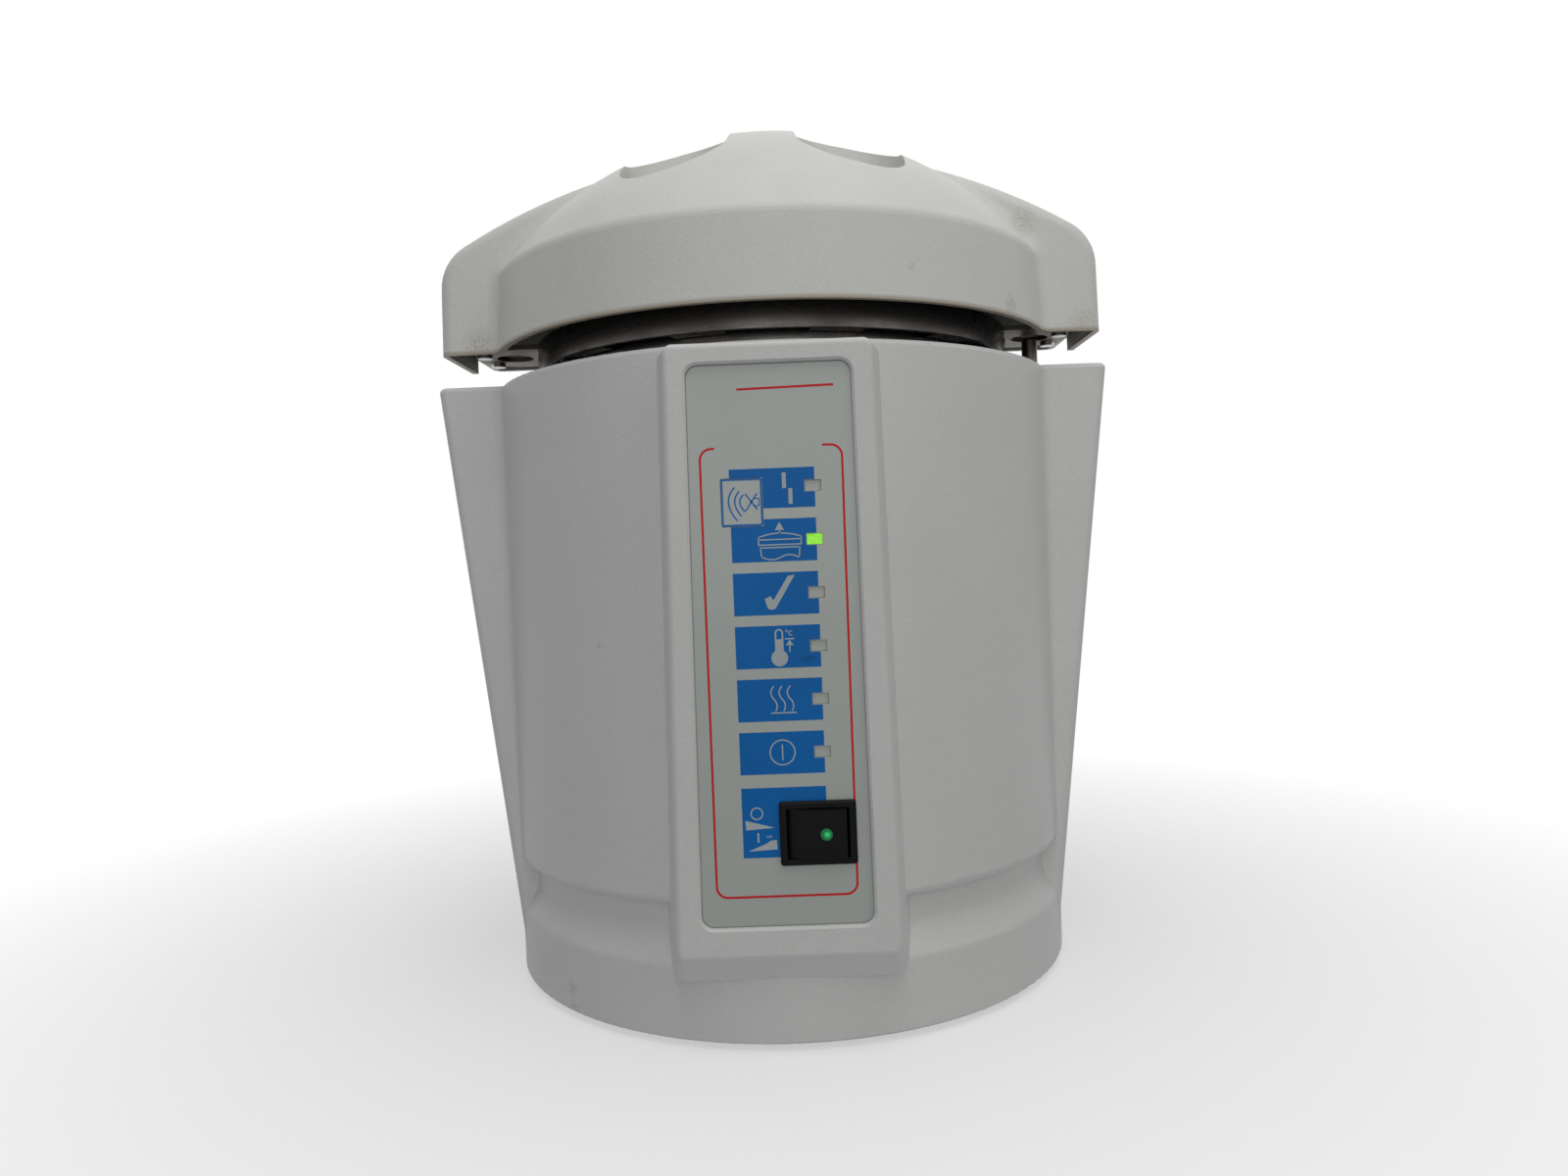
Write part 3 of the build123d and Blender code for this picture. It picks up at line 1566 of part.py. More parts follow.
def basket_half():
    """Right half of the basket's slotted steel wall, with an eye for the bail."""
    wall = tube(basket_radius - basket_wall, basket_radius, basket_low, basket_high)
    half = wall & block(0, basket_radius, -basket_radius, basket_radius, basket_low, basket_high)
    row_pitch = (basket_height - basket_rail) / basket_slot_rows
    slot_pitch = 360 / basket_slots
    cutters = []
    for index in range(basket_slots // 2):
        for row in range(basket_slot_rows):
            low = basket_low + basket_rail + row * row_pitch
            slot = block(
                basket_radius - 5,
                basket_radius + 5,
                -basket_slot_width / 2,
                basket_slot_width / 2,
                low,
                low + row_pitch - basket_rail,
            )
            cutters.append(Rot(0, 0, (index + 0.5) * slot_pitch - 90) * slot)
    ear = Pos(basket_radius, 0, basket_high - bail_eye_drop) * Rot(0, 90, 0)
    cutters.append(ear * Cylinder(bail_wire + running_clearance, 20))
    return half - cutters


def basket_bail():
    """Wire bail that lies on the rim's level and swings up."""
    reach = basket_radius - basket_wall - bail_gap
    path = FilletPolyline(
        (-reach, 0), (-reach, bail_height), (reach, bail_height), (reach, 0), radius=bail_bend
    )
    start = Plane(origin=(-reach, 0, 0), z_dir=(0, 1, 0))
    wire = sweep(start * Circle(bail_wire), path)
    for side in (-1, 1):
        wire += Pos(side * reach, 0, 0) * Sphere(bail_wire)
        stub_length = basket_radius + 1 - reach
        stub = Pos(side * (reach + stub_length / 2), 0, 0) * Rot(0, 90, 0) * Cylinder(bail_wire, stub_length)
        wire += stub
    return Pos(0, 0, basket_high - bail_eye_drop) * wire


def panel_screws():
    """Screws through the drum's wall into the panel housing."""
    screws = []
    for x, z in panel_screw_places():
        seat = -sqrt((drum_radius - casing_wall) ** 2 - (abs(x) + screw_head_radius) ** 2)
        head = rod(screw_head_radius, seat + 0.2, seat + 0.2 + screw_head_height, x, z)
        screws.append(head + rod(screw_radius - running_clearance, panel_back + 2, seat + 0.3, x, z))
    return screws


def insulation_jacket():
    """Glass-wool jacket round the chamber."""
    low = chamber_floor + jacket_bottom_gap
    high = neck_high - neck_ring_height - jacket_top_gap
    return tube(chamber_outer + seat_gap, jacket_outer, low, high)


def neck_seal():
    """Black seal between the casing's deck and the chamber's neck."""
    high = rim - seat_gap
    return tube(neck_outer + seat_gap, deck_opening_radius - seat_gap, high - neck_seal_thickness, high)


os.makedirs("parts", exist_ok=True)

save("base_casing", base_casing())
save("panel_bezel", panel_bezel())
save("panel_screws", panel_screws())
save("control_label", control_label())
lenses = [window_lens(height) for height in lamp_heights()]
save("indicator_window_lit", lenses.pop(lamp_lit))
save("indicator_windows", lenses)
save("indicator_leds", [indicator_led(height) for height in lamp_heights()])
save("control_board", control_board())
save("board_screws", board_screws())
save("board_components", board_components())
save("mute_key", mute_key())
save("switch_frame", switch_frame())
save("switch_rocker", switch_rocker())
save("switch_lens", lens_rod(lamp_lens_radius))
save("switch_terminals", switch_terminals())
save("chamber_vessel", chamber_vessel())
save("neck_ring", neck_ring())
save("neck_seal", neck_seal())
save("insulation_jacket", insulation_jacket())
save("heater_element", heater_element())
save("heater_plate", heater_plate())
save("sensor_bar", sensor_bar())
save("thermal_cutout", cylinder(cutout_radius, heater_plate_low, chamber_low - seat_gap, -cutout_offset))
save("temperature_probe", cylinder(probe_radius, heater_plate_low, chamber_low - seat_gap, cutout_offset))
save("support_posts", support_posts())
save("base_plate", base_plate())
save("base_screws", base_screws())
save("rubber_feet", [rubber_foot(x, y) for x, y in foot_places()])
save("foot_screws", [foot_screw(x, y) for x, y in foot_places()])
save("mains_inlet", mains_inlet())
save("inlet_pins", [inlet_pin(x, z) for x, z in inlet_pin_places()])
save("inlet_screws", inlet_screws())
save("fuse_drawer", fuse_drawer())
save("fuse", fuse())
save("pin_bush", pin_bush())
save("lock_pin", lock_pin())
save("lock_actuator", lock_actuator())
save("lock_spring", lock_spring())
save("lid_cover", lid_cover())
save("bridge_strap", bridge_strap())
save("locking_ring", locking_ring())
save("strap_screws", strap_screws())
save("cover_screws", cover_screws())
save("spindle_bush", spindle_bush())
save("lid_plate", lid_plate())
save("gasket", gasket())
save("glide_ring", glide_ring())
save("spindle", spindle())
save("spindle_nut", spindle_nut())
save("relief_seat", relief_seat())
save("relief_cap", relief_cap())
save("air_vent_body", air_vent_body())
save("air_vent_pin", air_vent_pin())
save("trivet", trivet())
save("basket_half_right", basket_half())
save("basket_half_left", Rot(0, 0, 180) * basket_half())
save("basket_floor", basket_floor())
save("basket_bail", basket_bail())
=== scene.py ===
"""Looks of a top-loading steam autoclave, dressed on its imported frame.

Front is -Y, right is +X and the chamber's axis is Z. All lengths are metres.
"""
import math

import bmesh
import bpy
from mathutils import Matrix, Vector


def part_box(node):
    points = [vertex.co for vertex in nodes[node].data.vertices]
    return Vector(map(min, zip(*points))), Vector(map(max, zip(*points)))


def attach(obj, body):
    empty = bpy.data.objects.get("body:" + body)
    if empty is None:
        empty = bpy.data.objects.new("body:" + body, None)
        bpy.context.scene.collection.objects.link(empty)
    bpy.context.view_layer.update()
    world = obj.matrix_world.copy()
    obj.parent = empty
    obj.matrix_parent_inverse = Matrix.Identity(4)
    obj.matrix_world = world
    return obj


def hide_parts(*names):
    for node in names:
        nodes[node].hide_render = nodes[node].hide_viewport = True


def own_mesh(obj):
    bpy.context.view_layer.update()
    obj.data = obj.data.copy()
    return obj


bl_info = {
    "name": "Steam autoclave",
    "version": (1, 0, 0),
    "blender": (4, 5, 0),
    "location": "View3D > Sidebar > Autoclave",
    "description": "Plastics, steels, printed panel and studio for a top-loading autoclave",
    "category": "Object",
}

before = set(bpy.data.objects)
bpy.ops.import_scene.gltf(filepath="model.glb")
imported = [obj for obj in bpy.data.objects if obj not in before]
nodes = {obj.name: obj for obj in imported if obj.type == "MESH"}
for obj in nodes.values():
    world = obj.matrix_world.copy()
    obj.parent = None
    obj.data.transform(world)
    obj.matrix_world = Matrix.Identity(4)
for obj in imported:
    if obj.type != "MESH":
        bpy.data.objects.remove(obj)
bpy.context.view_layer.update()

MM = 0.001
JACKET_WALL = 0.0102
JACKET_ENDS = 14
QUILT_COLUMNS = 180
QUILT_ROWS = 60
QUILT_SEAMS = 9
QUILT_RISE = 14
QUILT_DEPTH = 0.0012
QUILT_DRAW = 0.002


def node_centre(name):
    """Middle of a node's box."""
    low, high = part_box(name)
    return (low + high) / 2


label_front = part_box("control_label")[0].y
windows_low, windows_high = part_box("indicator_windows")
lit_window = node_centre("indicator_window_lit")
lamp_count = 6
window_half = (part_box("indicator_window_lit")[1].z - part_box("indicator_window_lit")[0].z) / 2
lamp_top = windows_high.z - window_half
lamp_pitch = (windows_high.z - windows_low.z - 2 * window_half) / (lamp_count - 1)
key_low, key_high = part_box("mute_key")
key_front = key_low.y
key_middle = node_centre("mute_key")
lens_middle = node_centre("switch_lens")
lens_front = Vector((lens_middle.x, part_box("switch_lens")[0].y, lens_middle.z))
lit_window_front = Vector((lit_window.x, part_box("indicator_window_lit")[0].y, lit_window.z))
cover_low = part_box("lid_cover")[0].z


# Node groups shared by the materials


def new_group(name, inputs, outputs):
    """Empty shader group with float or colour sockets; returns it with its end nodes."""
    group = bpy.data.node_groups.new(name, "ShaderNodeTree")
    for label, kind, value in inputs:
        socket = group.interface.new_socket(label, in_out="INPUT", socket_type=kind)
        socket.default_value = value
    for label, kind in outputs:
        group.interface.new_socket(label, in_out="OUTPUT", socket_type=kind)
    start = group.nodes.new("NodeGroupInput")
    end = group.nodes.new("NodeGroupOutput")
    return group, start, end


def math_node(tree, operation, first, second=None, clamp=False):
    """Math node fed by sockets or numbers; returns its result."""
    node = tree.nodes.new("ShaderNodeMath")
    node.operation = operation
    node.use_clamp = clamp
    for index, value in enumerate((first, second)):
        if isinstance(value, bpy.types.NodeSocket):
            tree.links.new(value, node.inputs[index])
        elif value is not None:
            node.inputs[index].default_value = value
    return node.outputs[0]


def noise_node(tree, vector, scale, detail=2.0, roughness=0.5):
    """Noise texture's value at a scale in waves a metre."""
    node = tree.nodes.new("ShaderNodeTexNoise")
    tree.links.new(vector, node.inputs["Vector"])
    if isinstance(scale, bpy.types.NodeSocket):
        tree.links.new(scale, node.inputs["Scale"])
    else:
        node.inputs["Scale"].default_value = scale
    node.inputs["Detail"].default_value = detail
    node.inputs["Roughness"].default_value = roughness
    return node.outputs["Fac"]


def place_socket(tree):
    """Place on the piece, in metres."""
    return tree.nodes.new("ShaderNodeTexCoord").outputs["Object"]


def distance_node(tree, point):
    """Distance of the place on the piece from a point, which is a socket or three numbers."""
    away = tree.nodes.new("ShaderNodeVectorMath")
    away.operation = "DISTANCE"
    tree.links.new(place_socket(tree), away.inputs[0])
    if isinstance(point, bpy.types.NodeSocket):
        tree.links.new(point, away.inputs[1])
    else:
        away.inputs[1].default_value = point
    return away.outputs["Value"]


def span_node(tree, value, low, high, to_low=0.0, to_high=1.0):
    """Value spread from one span to another, held at its ends."""
    node = tree.nodes.new("ShaderNodeMapRange")
    tree.links.new(value, node.inputs["Value"])
    for label, number in (("From Min", low), ("From Max", high), ("To Min", to_low), ("To Max", to_high)):
        if isinstance(number, bpy.types.NodeSocket):
            tree.links.new(number, node.inputs[label])
        else:
            node.inputs[label].default_value = number
    return node.outputs["Result"]


def build_grain_group():
    """Fine pebbled grain of a moulding: height and a tone that follows it."""
    inputs = [("Grain Size", "NodeSocketFloat", 0.0006)]
    outputs = [("Height", "NodeSocketFloat"), ("Tone", "NodeSocketFloat")]
    group, start, end = new_group("moulded_grain", inputs, outputs)
    place = place_socket(group)
    waves = math_node(group, "DIVIDE", 1.0, start.outputs["Grain Size"])
    pebbles = group.nodes.new("ShaderNodeTexVoronoi")
    pebbles.feature = "SMOOTH_F1"
    group.links.new(place, pebbles.inputs["Vector"])
    group.links.new(waves, pebbles.inputs["Scale"])
    soft = noise_node(group, place, math_node(group, "MULTIPLY", waves, 0.55), 3.0, 0.6)
    pits = math_node(group, "MULTIPLY", pebbles.outputs["Distance"], 0.6)
    height = math_node(group, "SUBTRACT", soft, pits)
    group.links.new(height, end.inputs["Height"])
    broad = noise_node(group, place, 22.0, 2.0, 0.5)
    fine_half = math_node(group, "MULTIPLY", height, 0.5)
    broad_half = math_node(group, "MULTIPLY", broad, 0.5)
    tone = math_node(group, "ADD", fine_half, broad_half)
    group.links.new(tone, end.inputs["Tone"])
    return group


def build_grime_group():
    """Handling grime: cloudy smears that run downwards, as a mask."""
    inputs = [("Cloud Size", "NodeSocketFloat", 0.05), ("Amount", "NodeSocketFloat", 0.4)]
    group, start, end = new_group("handling_grime", inputs, [("Mask", "NodeSocketFloat")])
    place = place_socket(group)
    stretch = group.nodes.new("ShaderNodeMapping")
    stretch.inputs["Scale"].default_value = (1.0, 1.0, 0.45)
    group.links.new(place, stretch.inputs["Vector"])
    waves = math_node(group, "DIVIDE", 1.0, start.outputs["Cloud Size"])
    clouds = noise_node(group, stretch.outputs["Vector"], waves, 5.0, 0.62)
    fine = noise_node(group, place, math_node(group, "MULTIPLY", waves, 14.0), 4.0, 0.7)
    lowered = math_node(group, "MULTIPLY", start.outputs["Amount"], 0.35)
    floor_level = math_node(group, "SUBTRACT", 0.78, lowered)
    patches = span_node(group, clouds, floor_level, 0.9)
    broken = math_node(group, "MULTIPLY", patches, span_node(group, fine, 0.35, 0.7, 0.35, 1.0), clamp=True)
    group.links.new(broken, end.inputs["Mask"])
    return group


def build_speck_group():
    """Sparse small dark specks, as a mask."""
    inputs = [("Spacing", "NodeSocketFloat", 0.02), ("Speck Size", "NodeSocketFloat", 0.0006)]
    group, start, end = new_group("stray_specks", inputs, [("Mask", "NodeSocketFloat")])
    place = place_socket(group)
    cells = group.nodes.new("ShaderNodeTexVoronoi")
    group.links.new(place, cells.inputs["Vector"])
    waves = math_node(group, "DIVIDE", 1.0, start.outputs["Spacing"])
    group.links.new(waves, cells.inputs["Scale"])
    reach = math_node(group, "MULTIPLY", start.outputs["Speck Size"], waves)
    distance = cells.outputs["Distance"]
    spot = math_node(group, "LESS_THAN", distance, math_node(group, "MULTIPLY", reach, 0.5))
    split = group.nodes.new("ShaderNodeSeparateColor")
    group.links.new(cells.outputs["Color"], split.inputs["Color"])
    some = math_node(group, "GREATER_THAN", split.outputs["Red"], 0.55)
    uneven = span_node(group, split.outputs["Green"], 0.0, 1.0, 0.3, 1.0)
    strength = math_node(group, "MULTIPLY", some, uneven)
    group.links.new(math_node(group, "MULTIPLY", spot, strength), end.inputs["Mask"])
    return group


def build_brushed_group():
    """Drawn or brushed metal: fine lines round the vertical axis, as height and tone."""
    inputs = [("Line Size", "NodeSocketFloat", 0.0005), ("Stain Size", "NodeSocketFloat", 0.03)]
    outputs = [("Height", "NodeSocketFloat"), ("Tone", "NodeSocketFloat")]
    group, start, end = new_group("worked_metal", inputs, outputs)
    place = place_socket(group)
    stretch = group.nodes.new("ShaderNodeMapping")
    stretch.inputs["Scale"].default_value = (0.06, 0.06, 1.0)
    group.links.new(place, stretch.inputs["Vector"])
    lines = math_node(group, "DIVIDE", 1.0, start.outputs["Line Size"])
    height = noise_node(group, stretch.outputs["Vector"], lines, 3.0, 0.6)
    group.links.new(height, end.inputs["Height"])
    stains = noise_node(group, place, math_node(group, "DIVIDE", 1.0, start.outputs["Stain Size"]), 5.0, 0.65)
    mixed = math_node(group, "MULTIPLY", height, 0.35)
    tone = math_node(group, "ADD", mixed, math_node(group, "MULTIPLY", stains, 0.65))
    group.links.new(tone, end.inputs["Tone"])
    return group


def build_mark_group():
    """One worn or smudged patch round a place, broken up and frayed, as a mask."""
    inputs = [("Place", "NodeSocketVector", (0.0, 0.0, 0.0)), ("Reach", "NodeSocketFloat", 0.01)]
    group, start, end = new_group("smudged_patch", inputs, [("Mask", "NodeSocketFloat")])
    place = place_socket(group)
    distance = distance_node(group, start.outputs["Place"])
    share = math_node(group, "DIVIDE", distance, start.outputs["Reach"])
    ragged = math_node(group, "MULTIPLY", noise_node(group, place, 260.0, 4.0, 0.7), 0.9)
    frayed = math_node(group, "ADD", share, ragged)
    mask = span_node(group, frayed, 0.75, 1.4, 1.0, 0.0)
    broken = span_node(group, noise_node(group, place, 900.0, 3.0, 0.7), 0.38, 0.62)
    group.links.new(math_node(group, "MULTIPLY", mask, broken), end.inputs["Mask"])
    return group


GROUP_BUILDERS = {
    "moulded_grain": build_grain_group,
    "handling_grime": build_grime_group,
    "stray_specks": build_speck_group,
    "worked_metal": build_brushed_group,
    "smudged_patch": build_mark_group,
}

# Smudges and bruises on the mouldings: place in millimetres, reach and strength
LID_MARKS = (
    ((122.4, -50.7, 357.3), 9.0, 0.55),
    ((107.6, -89.0, 310.0), 7.0, 0.6),
    ((-139.7, -50.7, 309.5), 10.0, 0.6),
    ((150.0, -50.0, 309.0), 9.0, 0.5),
    ((80.6, -115.0, 330.4), 1.3, 0.9),
    ((61.0, -127.0, 319.5), 3.2, 0.35),
)
CASING_MARKS = (
    ((-97.5, -98.0, 13.7), 5.0, 0.55),
    ((-97.2, -99.0, 5.0), 4.0, 0.5),
    ((-76.7, -117.0, 167.4), 1.6, 0.8),
)


def effect(tree, name, **values):
    """Shared effect placed in a material with its own values."""
    group = bpy.data.node_groups.get(name) or GROUP_BUILDERS[name]()
    node = tree.nodes.new("ShaderNodeGroup")
    node.node_tree = group
    for label, value in values.items():
        node.inputs[label.replace("_", " ")].default_value = value
    return node


# Materials


def new_material(name):
    """Fresh node material; returns it with its tree and its shader."""
    material = bpy.data.materials.new(name)
    material.use_nodes = True
    tree = material.node_tree
    return material, tree, tree.nodes["Principled BSDF"]


def mix_colour(tree, mask, first, second):
    """Colour that turns from the first to the second with a mask."""
    node = tree.nodes.new("ShaderNodeMix")
    node.data_type = "RGBA"
    tree.links.new(mask, node.inputs[0])
    for label, value in ((6, first), (7, second)):
        if isinstance(value, bpy.types.NodeSocket):
            tree.links.new(value, node.inputs[label])
        else:
            node.inputs[label].default_value = (*value, 1.0)
    return node.outputs[2]


def bump_into(tree, shader, height, depth):
    """Relief of a depth in metres on the shader's normal."""
    bump = tree.nodes.new("ShaderNodeBump")
    bump.inputs["Strength"].default_value = 1.0
    bump.inputs["Distance"].default_value = depth
    tree.links.new(height, bump.inputs["Height"])
    tree.links.new(bump.outputs["Normal"], shader.inputs["Normal"])


def height_mask(tree, low, high):
    """Mask that falls from one at a low height to zero at a high one."""
    split = tree.nodes.new("ShaderNodeSeparateXYZ")
    tree.links.new(place_socket(tree), split.inputs["Vector"])
    return span_node(tree, split.outputs["Z"], low, high, 1.0, 0.0)


def moulded_plastic(name, colour, stain, grime_amount, grime_size, edge_heights, marks):
    """Fine-grained matt plastic with handling grime, smudges and a darker line along a lower edge."""
    material, tree, shader = new_material(name)
    finish = bpy.context.scene.autoclave_plastics
    grain = effect(tree, "moulded_grain", Grain_Size=finish.grain_size)
    grime = effect(tree, "handling_grime", Cloud_Size=grime_size, Amount=grime_amount)
    specks = effect(tree, "stray_specks", Spacing=finish.speck_spacing, Speck_Size=finish.speck_size)
    shade = tuple(channel * 0.94 for channel in colour)
    clean = mix_colour(tree, span_node(tree, grain.outputs["Tone"], 0.25, 0.6), shade, colour)
    soft_grime = math_node(tree, "MULTIPLY", grime.outputs["Mask"], finish.grime_strength)
    dirty = mix_colour(tree, soft_grime, clean, stain)
    if edge_heights:
        # Browner and darker towards the lid's lower edge, mixed to the grime colour
        edge = math_node(tree, "MULTIPLY", height_mask(tree, *edge_heights), finish.lower_edge_darkening)
        dirty = mix_colour(tree, edge, dirty, stain)
    for place, reach, strength in marks:
        mark = effect(tree, "smudged_patch", Place=tuple(value * MM for value in place), Reach=reach * MM)
        dirty = mix_colour(tree, math_node(tree, "MULTIPLY", mark.outputs["Mask"], strength), dirty, stain)
    spotted = mix_colour(tree, specks.outputs["Mask"], dirty, finish.speck_colour)
    tree.links.new(spotted, shader.inputs["Base Color"])
    rough = span_node(tree, grime.outputs["Mask"], 0.0, 1.0, finish.roughness, finish.roughness + 0.18)
    tree.links.new(rough, shader.inputs["Roughness"])
    shader.inputs["Specular IOR Level"].default_value = 0.42
    bump_into(tree, shader, grain.outputs["Height"], finish.grain_depth)
    return material


def dense_plastic(name, colour, roughness, grain_size=0.0004, grain_depth=0.00002, dust=0.25, shine=0.5):
    """Even plastic or rubber with faint dust and a fine surface."""
    material, tree, shader = new_material(name)
    grain = effect(tree, "moulded_grain", Grain_Size=grain_size)
    grime = effect(tree, "handling_grime", Cloud_Size=0.012, Amount=0.7)
    dusty = tuple(channel * (1 - dust) + 0.32 * dust for channel in colour)
    shader.inputs["Specular IOR Level"].default_value = shine
    worn = mix_colour(tree, grime.outputs["Mask"], colour, dusty)
    tree.links.new(worn, shader.inputs["Base Color"])
    rough = span_node(tree, grain.outputs["Tone"], 0.2, 0.7, roughness - 0.05, roughness + 0.1)
    tree.links.new(rough, shader.inputs["Roughness"])
    bump_into(tree, shader, grain.outputs["Height"], grain_depth)
    return material


def worked_metal(name, colour, stain, roughness, line_size=0.0005, depth=0.000006, stain_size=0.03):
    """Metal with worked lines, a stained tone and uneven gloss."""
    material, tree, shader = new_material(name)
    work = effect(tree, "worked_metal", Line_Size=line_size, Stain_Size=stain_size)
    tone = span_node(tree, work.outputs["Tone"], 0.35, 0.65)
    tree.links.new(mix_colour(tree, tone, stain, colour), shader.inputs["Base Color"])
    rough = span_node(tree, work.outputs["Tone"], 0.3, 0.7, roughness + 0.12, roughness)
    tree.links.new(rough, shader.inputs["Roughness"])
    shader.inputs["Metallic"].default_value = 1.0
    bump_into(tree, shader, work.outputs["Height"], depth)
    return material


def lamp_plastic(name, colour, glow, strength, centre, bright_reach, dark_reach, roughness=0.25):
    """Lit moulding, bright where the lamp stands behind it and dark towards its rim."""
    material, tree, shader = new_material(name)
    grain = effect(tree, "moulded_grain", Grain_Size=0.0009)
    shader.inputs["Roughness"].default_value = roughness
    shader.inputs["Emission Strength"].default_value = strength
    tone = span_node(tree, grain.outputs["Tone"], 0.3, 0.6)
    dim = tuple(channel * 0.8 for channel in colour)
    tree.links.new(mix_colour(tree, tone, dim, colour), shader.inputs["Base Color"])
    dim_glow = tuple(channel * 0.7 for channel in glow)
    mottled = mix_colour(tree, tone, dim_glow, glow)
    rim_mask = span_node(tree, distance_node(tree, centre), bright_reach, dark_reach)
    dark_glow = tuple(channel * 0.12 for channel in glow)
    tree.links.new(mix_colour(tree, rim_mask, mottled, dark_glow), shader.inputs["Emission Color"])
    shader.inputs["Specular IOR Level"].default_value = 0.2
    bump_into(tree, shader, grain.outputs["Height"], 0.00003)
    return material


def label_film(name, colour):
    """Satin overlay film with a very fine printed grain and a clear coat."""
    material, tree, shader = new_material(name)
    grain = effect(tree, "moulded_grain", Grain_Size=0.00035)
    grime = effect(tree, "handling_grime", Cloud_Size=0.02, Amount=0.5)
    pale = tuple(min(1.0, channel * 1.05) for channel in colour)
    base = mix_colour(tree, span_node(tree, grain.outputs["Tone"], 0.3, 0.6), colour, pale)
    smear = math_node(tree, "MULTIPLY", grime.outputs["Mask"], 0.2)
    dull = tuple(channel * 0.8 for channel in colour)
    tree.links.new(mix_colour(tree, smear, base, dull), shader.inputs["Base Color"])
    rough = span_node(tree, grime.outputs["Mask"], 0.0, 1.0, 0.34, 0.5)
    tree.links.new(rough, shader.inputs["Roughness"])
    shader.inputs["Coat Weight"].default_value = 0.15
    bump_into(tree, shader, grain.outputs["Height"], 0.00001)
    return material


def ink(name, colour):
    """Screen-printed ink with a slightly mottled cover."""
    material, tree, shader = new_material(name)
    grain = effect(tree, "moulded_grain", Grain_Size=0.0005)
    thin = tuple(channel * 0.86 for channel in colour)
    shader.inputs["Specular IOR Level"].default_value = 0.12
    cover = span_node(tree, grain.outputs["Tone"], 0.3, 0.55)
    tree.links.new(mix_colour(tree, cover, thin, colour), shader.inputs["Base Color"])
    rough = span_node(tree, grain.outputs["Tone"], 0.2, 0.7, 0.32, 0.46)
    tree.links.new(rough, shader.inputs["Roughness"])
    bump_into(tree, shader, grain.outputs["Height"], 0.000008)
    return material


def wool_felt(name, colour):
    """Matted glass wool: long soft fibres over a clumpy base."""
    material, tree, shader = new_material(name)
    grime = effect(tree, "handling_grime", Cloud_Size=0.01, Amount=1.0)
    grain = effect(tree, "moulded_grain", Grain_Size=0.003)
    pale = tuple(min(1.0, channel * 1.15) for channel in colour)
    tree.links.new(mix_colour(tree, grime.outputs["Mask"], colour, pale), shader.inputs["Base Color"])
    rough = span_node(tree, grain.outputs["Tone"], 0.2, 0.7, 0.85, 1.0)
    tree.links.new(rough, shader.inputs["Roughness"])
    shader.inputs["Sheen Weight"].default_value = 0.4
    bump_into(tree, shader, grain.outputs["Height"], 0.0008)
    return material


def paint_nodes(material, names):
    """The material on each named node."""
    for name in names:
        slots = nodes[name].material_slots
        if not slots:
            nodes[name].data.materials.append(material)
        for slot in nodes[name].material_slots:
            slot.material = material


# Flat print shapes, in millimetres on the label, as lists of (x, z) outlines


def arc(centre, radius, start, end, steps=12):
    """Points along an arc, in degrees from +X."""
    points = []
    for index in range(steps + 1):
        angle = math.radians(start + (end - start) * index / steps)
        points.append((centre[0] + radius * math.cos(angle), centre[1] + radius * math.sin(angle)))
    return points


def bow(start, middle, end, steps=10):
    """Points of a smooth bow from start to end that passes through the middle."""
    control = [2 * middle[axis] - (start[axis] + end[axis]) / 2 for axis in (0, 1)]
    points = []
    for index in range(steps + 1):
        t = index / steps
        points.append(tuple(
            (1 - t) ** 2 * start[axis] + 2 * t * (1 - t) * control[axis] + t**2 * end[axis] for axis in (0, 1)
        ))
    return points


def stroke(points, width, closed=False):
    """Quads along a line of points, mitred at its bends."""
    count = len(points)
    sides = []
    for index, point in enumerate(points):
        here = Vector(point)
        before = Vector(points[index - 1]) if index > 0 or closed else None
        after = Vector(points[(index + 1) % count]) if index < count - 1 or closed else None
        into = (here - before).normalized() if before is not None else (after - here).normalized()
        out = (after - here).normalized() if after is not None else into
        along = (into + out).normalized() if (into + out).length > 1e-6 else into
        across = Vector((-along.y, along.x))
        reach = width / 2 / max(0.5, along.dot(into))
        sides.append((here + across * reach, here - across * reach))
    quads = []
    for index in range(count if closed else count - 1):
        left, right = sides[index]
        next_left, next_right = sides[(index + 1) % count]
        quads.append([tuple(left), tuple(right), tuple(next_right), tuple(next_left)])
    return quads


def disc(centre, radius, steps=20):
    """Outline of a disc."""
    return [arc(centre, radius, 0, 360, steps)[:-1]]


def moved(shapes, x, z):
    """The same outlines moved across the label."""
    return [[(point[0] + x, point[1] + z) for point in outline] for outline in shapes]


def add_piece(name, data):
    """Object with its mesh, light or camera data, put in the scene."""
    piece = bpy.data.objects.new(name, data)
    bpy.context.scene.collection.objects.link(piece)
    return piece


def print_piece(name, shapes, film_back, film_thickness, material, body):
    """Thin printed film made of flat outlines, standing on a face at film_back."""
    mesh = bpy.data.meshes.new(name)
    shell = bmesh.new()
    for outline in shapes:
        corners = [shell.verts.new((x * MM, film_back, z * MM)) for x, z in outline]
        shell.faces.new(corners)
    bmesh.ops.remove_doubles(shell, verts=shell.verts, dist=1e-7)
    bmesh.ops.recalc_face_normals(shell, faces=shell.faces)
    for face in shell.faces:
        if face.normal.y > 0:
            face.normal_flip()
    sheet = bmesh.ops.extrude_face_region(shell, geom=list(shell.faces))
    fronts = [item for item in sheet["geom"] if isinstance(item, bmesh.types.BMVert)]
    bmesh.ops.translate(shell, verts=fronts, vec=(0.0, -film_thickness, 0.0))
    bmesh.ops.recalc_face_normals(shell, faces=shell.faces)
    shell.to_mesh(mesh)
    shell.free()
    mesh.materials.append(material)
    piece = add_piece(name, mesh)
    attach(piece, body)
    return piece


# Properties


